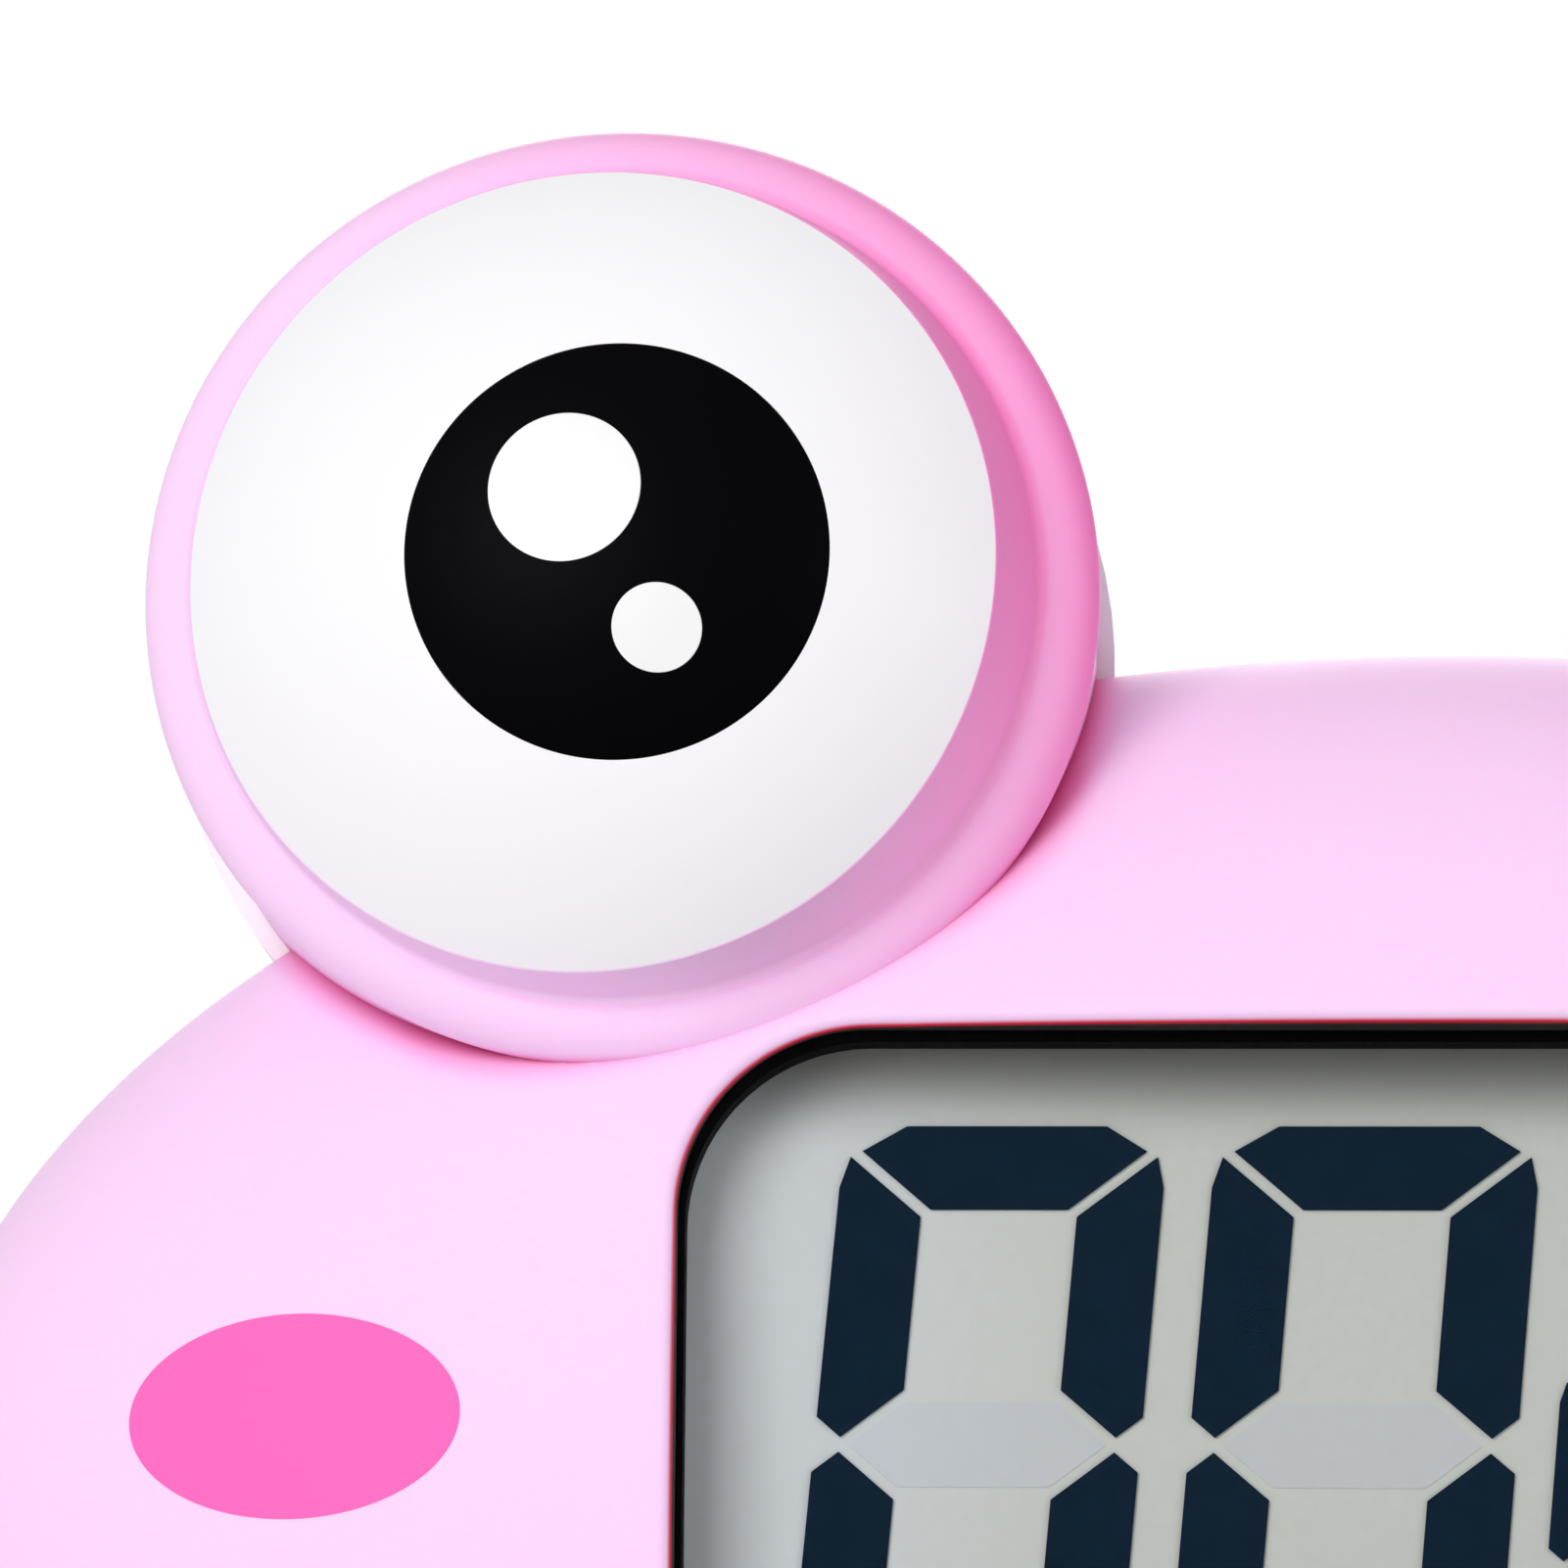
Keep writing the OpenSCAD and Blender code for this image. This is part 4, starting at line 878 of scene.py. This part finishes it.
for side, word in ((-1, "left"), (1, "right")):
    centre = np.array([-side * PUPIL_SHIFT, -PUPIL_DROP])
    dome = rings_mesh("dome", lean_rings(side, dome_rings(centre)), loop=False)
    add_piece(f"{word}_eye_white", dome, eye_white, stands_for=[f"{word}_eye_dome"])
    disc = rings_mesh("disc", lean_rings(side, disc_rings(centre, PUPIL_R, 0.0, PUPIL_T)), loop=False)
    add_piece(f"{word}_pupil_disc", disc, pupil_ink, stands_for=[f"{word}_pupil"])
    dots = [
        rings_mesh("dot", lean_rings(side, disc_rings(centre + spot, radius, INK, GLINT_T)), loop=False)
        for spot, radius in GLINTS
    ]
    prints = joined("dots", dots)
    add_piece(f"{word}_glint_prints", prints, glint_ink, stands_for=[f"{word}_glints"])

# %% [markdown]
# ## Cheeks
# A cheek is an oval of hot pink ink on the pillow. It could be a colour in the case's finish, but a film
# of its own keeps its outline clean at any size. It follows the pillow's formula, a hair above it.

# %% Cheek pieces
CHEEK_SIDE = 29.0
CHEEK_UP = 1.63
CHEEK_HALF = np.array([4.25, 2.55])
CHEEK_FILM = 0.015
CHEEK_BED = 0.1
CHEEK_ROWS = 30


def cheek_rings(side):
    """Rings of an ellipse about the cheek's middle, on the pillow, then back underneath it."""
    middle = np.array([side * CHEEK_SIDE, CHEEK_UP])
    spots = [middle + share * CHEEK_HALF * spin for share in np.linspace(0, 1, CHEEK_ROWS)]
    rings = [ring(spot, pillow(*spot.T) + CHEEK_FILM) for spot in spots]
    for spot in (spots[-1], spots[0]):
        rings.append(ring(spot, pillow(*spot.T) - CHEEK_BED))
    return np.stack(rings)


for side, word in ((-1, "left"), (1, "right")):
    oval = rings_mesh("oval", cheek_rings(side), loop=False)
    add_piece(f"{word}_cheek_print", oval, cheek_ink, stands_for=[f"{word}_cheek"])

# %% [markdown]
# ## Unlit segments
# The middle bars of the noughts are off, but the crystal still shows them faintly. A mask in the panel's
# finish could tint them, but thin bars have crisp corners with far fewer nodes. Each is a flat six-sided
# prism on the panel, sheared like the digits.

# %% Unlit middle bars
DIGIT_LEAN = math.tan(math.radians(5.3))
DIGIT_W = 8.1
DIGIT_H = 15.96
STROKE = 2.1
DIGIT_DROP = 0.36
DIGIT_MARGIN = 3.31
DIGIT_PITCH = 9.3
SECOND_STEP = 7.3
BAR_INSET = 0.85
BAR_POINT = 0.8
BAR_T = 0.02
DIGIT_Y = WINDOW_UP - DIGIT_DROP
FIRST_X = DIGIT_MARGIN + DIGIT_W / 2 - WINDOW_HALF_W
SMALL = 0.63
SMALL_Y = DIGIT_Y - (1 - SMALL) * DIGIT_H / 2
panel_front = face_depth("lcd_panel", 0)
bar_tip = DIGIT_W / 2 - BAR_INSET
bar_flat = bar_tip - STROKE / 2 / BAR_POINT
bar = np.array([
    [bar_tip, 0.0], [bar_flat, STROKE / 2], [-bar_flat, STROKE / 2],
    [-bar_tip, 0.0], [-bar_flat, -STROKE / 2], [bar_flat, -STROKE / 2],
])


def bar_rings(x, y, size):
    """A thin prism over the bar's outline, sheared by its height and closed at both faces by a point."""
    flat = size * np.stack([bar[:, 0] + DIGIT_LEAN * bar[:, 1], bar[:, 1]], 1)
    rows = [(0.0, -BAR_T), (1.0, -BAR_T), (1.0, BAR_T), (0.0, BAR_T)]
    return np.stack([ring(np.array([x, y]) + share * flat, panel_front + up) for share, up in rows])


second_x = FIRST_X + DIGIT_PITCH + SECOND_STEP
places = [(FIRST_X, DIGIT_Y, 1.0), (FIRST_X + DIGIT_PITCH, DIGIT_Y, 1.0)]
places += [(second_x + k * DIGIT_PITCH * SMALL, SMALL_Y, SMALL) for k in (0, 1)]
bars = [rings_mesh("bar", bar_rings(*place), loop=False) for place in places]
add_piece("unlit_bars", joined("bars", bars), ghost_film)

# %% [markdown]
# ## Pieces that keep their solid's shape
# The back, the door, the stand and the buttons are already right, so a merged copy of each solid is only
# shaded smooth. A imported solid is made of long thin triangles, though, and a normal averaged from those
# dents the surface round every hole. The back's skin is a turned profile with a rounded edge, so its formula
# gives the exact normal at each corner, and flat faces simply keep their own.

# %% Back skin normals
BACK_EDGE = 5.0
BACK_SKIM = 0.05
EYE_BACK_R = 12.45
EYE_BACK = 8.5
EYE_BACK_EDGE = 3.0
STAND_SKIN = 0.1
ON_SKIN = 0.07
SAME_WAY = 0.85
FLAT = 0.99999
back_depth = -face_depth("rear_cover", 1)


def edge_way(reach, depth, radius, deep, edge):
    """Unit way from the edge arc's middle, outwards and backwards, and the distance off the skin."""
    across = np.maximum(reach - (radius - edge), 0)
    along = np.maximum(depth - (deep - edge), 0)
    length = np.maximum(np.hypot(across, along), 1e-9)
    return across / length, along / length, np.abs(length - edge)


def body_skin(spots, inset):
    """Normals of the oval back: the turned profile's, with x squeezed by height over width."""
    squeeze = (HALF_H - inset) / (HALF_W - inset)
    x, y = spots[:, 0] * squeeze, spots[:, 1]
    reach = np.maximum(np.hypot(x, y), 1e-9)
    out, back, off = edge_way(
        reach, -spots[:, 2], HALF_H - inset, back_depth + BACK_SKIM - inset, BACK_EDGE - inset
    )
    ways = np.stack([out * x / reach * squeeze, out * y / reach, -back], 1)
    return ways / np.linalg.norm(ways, axis=1)[:, None], off


def eye_skin(spots):
    """Normals of the eyes' round backs, which are turned about the eyes' axes."""
    side = np.where(spots[:, 0] < 0, -1, 1)
    x, y = spots[:, 0] - side * EYE_X, spots[:, 1] - EYE_UP
    reach = np.maximum(np.hypot(x, y), 1e-9)
    out, back, off = edge_way(reach, -spots[:, 2], EYE_BACK_R, EYE_BACK, EYE_BACK_EDGE)
    return np.stack([out * x / reach, out * y / reach, -back], 1), off


def exact_normals(mesh):
    """Gives flat faces their own normal and corners on a skin the skin's normal."""
    corners = np.empty(len(mesh.loops), np.int32)
    mesh.loops.foreach_get("vertex_index", corners)
    counts = np.empty(len(mesh.polygons), np.int32)
    mesh.polygons.foreach_get("loop_total", counts)
    faces = np.repeat(read_all(mesh.polygons, "normal", 3), counts, 0)
    normals = read_all(mesh.corner_normals, "vector", 3)
    spots = to_face(read_all(mesh.vertices, "co", 3)[corners])
    flat = np.abs(faces).max(1) > FLAT
    normals[flat] = faces[flat]
    for ways, off in (body_skin(spots, 0.0), body_skin(spots, STAND_SKIN), eye_skin(spots)):
        room_ways = np.stack([ways[:, 0], -ways[:, 2], ways[:, 1]], 1)
        on_skin = (off < ON_SKIN) & ((room_ways * faces).sum(1) > SAME_WAY) & ~flat
        normals[on_skin] = room_ways[on_skin]
    mesh.normals_split_custom_set(normals)
    return int(flat.sum())


print("back is", round(back_depth, 2), "mm deep")

# %% Smooth copies
MERGE_SOLID = 1e-6
kept_shapes = {
    "rear_cover": ("back_cover", "case"),
    "battery_door": ("door_panel", "door"),
    "stand": ("stand_plate", "stand_leg"),
    "minute_button": ("minute_cap", "minute_key"),
    "start_button": ("start_cap", "start_key"),
    "second_button": ("second_cap", "second_key"),
}
for node, (name, body) in kept_shapes.items():
    copy = frame["nodes"][node].data.copy()
    work = bmesh.new()
    work.from_mesh(copy)
    bmesh.ops.remove_doubles(work, verts=work.verts, dist=MERGE_SOLID)
    work.to_mesh(copy)
    work.free()
    soften(copy)
    print(name, exact_normals(copy), "flat corners")
    add_piece(name, copy, finish_of[slot_of[node]], body, [node])

# %% [markdown]
# ## Floor, light and white background
# The timer stands on a pale floor. A large soft lamp at the upper left gives the shading on the eye, a weaker
# one at the right fills the shade, a third one lights the back, and the world adds a soft all-round light.
# Only rays that come straight from the camera, or by way of gloss or glass, see the world as plain white.

# %% Floor and world
FLOOR_HALF = 1.5
FLOOR_Z = -1e-4
WORLD_LIGHT = 0.42
floor_corners = FLOOR_HALF * np.array([[-1, -1], [1, -1], [1, 1], [-1, 1]])
floor_points = np.column_stack([floor_corners, np.full(4, FLOOR_Z)])
floor_mesh = mesh_of("floor", floor_points, np.array([[0, 1, 2, 3]]))
floor_paint = moulded("floor_paint", (0.86, 0.86, 0.86), 0.8, 0.005, 3.0, 40.0, 0.01)
floor_mesh.materials.append(floor_paint)
floor = bpy.data.objects.new("floor", floor_mesh)
bpy.context.scene.collection.objects.link(floor)
world = bpy.data.worlds.new("studio")
bpy.context.scene.world = world
world.use_nodes = True
sky = world.node_tree
sky_light = sky.nodes["Background"]
sky_light.inputs["Color"].default_value = (1.0, 1.0, 1.0, 1.0)
path = sky.nodes.new("ShaderNodeLightPath")
straight = path.outputs["Is Camera Ray"]
for other in ("Is Glossy Ray", "Is Transmission Ray"):
    either = sky.nodes.new("ShaderNodeMath")
    either.operation = "MAXIMUM"
    sky.links.new(straight, either.inputs[0])
    sky.links.new(path.outputs[other], either.inputs[1])
    straight = either.outputs[0]
level = sky.nodes.new("ShaderNodeMapRange")
level.inputs["To Min"].default_value = WORLD_LIGHT
level.inputs["To Max"].default_value = 1.0
sky.links.new(straight, level.inputs["Value"])
sky.links.new(level.outputs["Result"], sky_light.inputs["Strength"])
print("floor and world ready")

# %% Lamps
TARGET = Vector((-0.008, 0.0, 0.03))


def soft_lamp(name, azimuth, elevation, distance, size, level):
    """A square lamp aimed at the face; level is the brightness that it alone gives white facing it."""
    a, e = math.radians(azimuth), math.radians(elevation)
    way = Vector((math.sin(a) * math.cos(e), -math.cos(a) * math.cos(e), math.sin(e)))
    data = bpy.data.lights.new(name, "AREA")
    data.shape = "SQUARE"
    data.size = size
    data.energy = level * math.pi**2 * distance**2
    lamp = bpy.data.objects.new(name, data)
    bpy.context.scene.collection.objects.link(lamp)
    aim = way.to_track_quat("Z", "Y").to_matrix().to_4x4()
    lamp.matrix_world = Matrix.Translation(TARGET + way * distance) @ aim
    return lamp


soft_lamp("key_lamp", -24.0, 15.0, 0.42, 0.18, 0.51)
soft_lamp("fill_lamp", 52.0, 0.0, 0.6, 0.3, 0.21)
soft_lamp("back_lamp", 180.0, 30.0, 0.5, 0.3, 0.4)
print("lamps ready")

# %% [markdown]
# ## Camera
# The picture is taken from close by, low and a little to the left of the middle, with the camera turned
# up towards the left eye. A long lens does the framing, and nothing is shifted.

# %% Camera
IMAGE_SIDE = 1601.0
FOCAL_PIXELS = 6979.6
SENSOR = 36.0
camera_spot = np.array([-8.95, -17.01, 176.10])
yaw, pitch, roll = np.radians([2.741, 11.632, 0.458])
ahead = Vector((-math.sin(yaw) * math.cos(pitch), math.cos(yaw) * math.cos(pitch), math.sin(pitch)))
level_right = Vector((math.cos(yaw), math.sin(yaw), 0.0))
level_up = level_right.cross(ahead)
right = math.cos(roll) * level_right + math.sin(roll) * level_up
up = math.cos(roll) * level_up - math.sin(roll) * level_right
lens = bpy.data.cameras.new("camera")
lens.sensor_width = SENSOR
lens.lens = FOCAL_PIXELS / IMAGE_SIDE * SENSOR
lens.clip_start = 0.005
camera = bpy.data.objects.new("camera", lens)
bpy.context.scene.collection.objects.link(camera)
turned_camera = Matrix((right, up, -ahead)).transposed().to_4x4()
camera.matrix_world = Matrix.Translation(Vector(to_room(camera_spot))) @ turned_camera
bpy.context.scene.camera = camera
bpy.context.scene.view_settings.view_transform = "Standard"
print("camera at", np.round(camera.location, 4), "lens", round(lens.lens, 1))

# %% [markdown]
# ## Size and finish
# Dressing must not change the timer's size; this cell only brings the view layer up to date.

# %% Size and finish
bpy.context.view_layer.update()
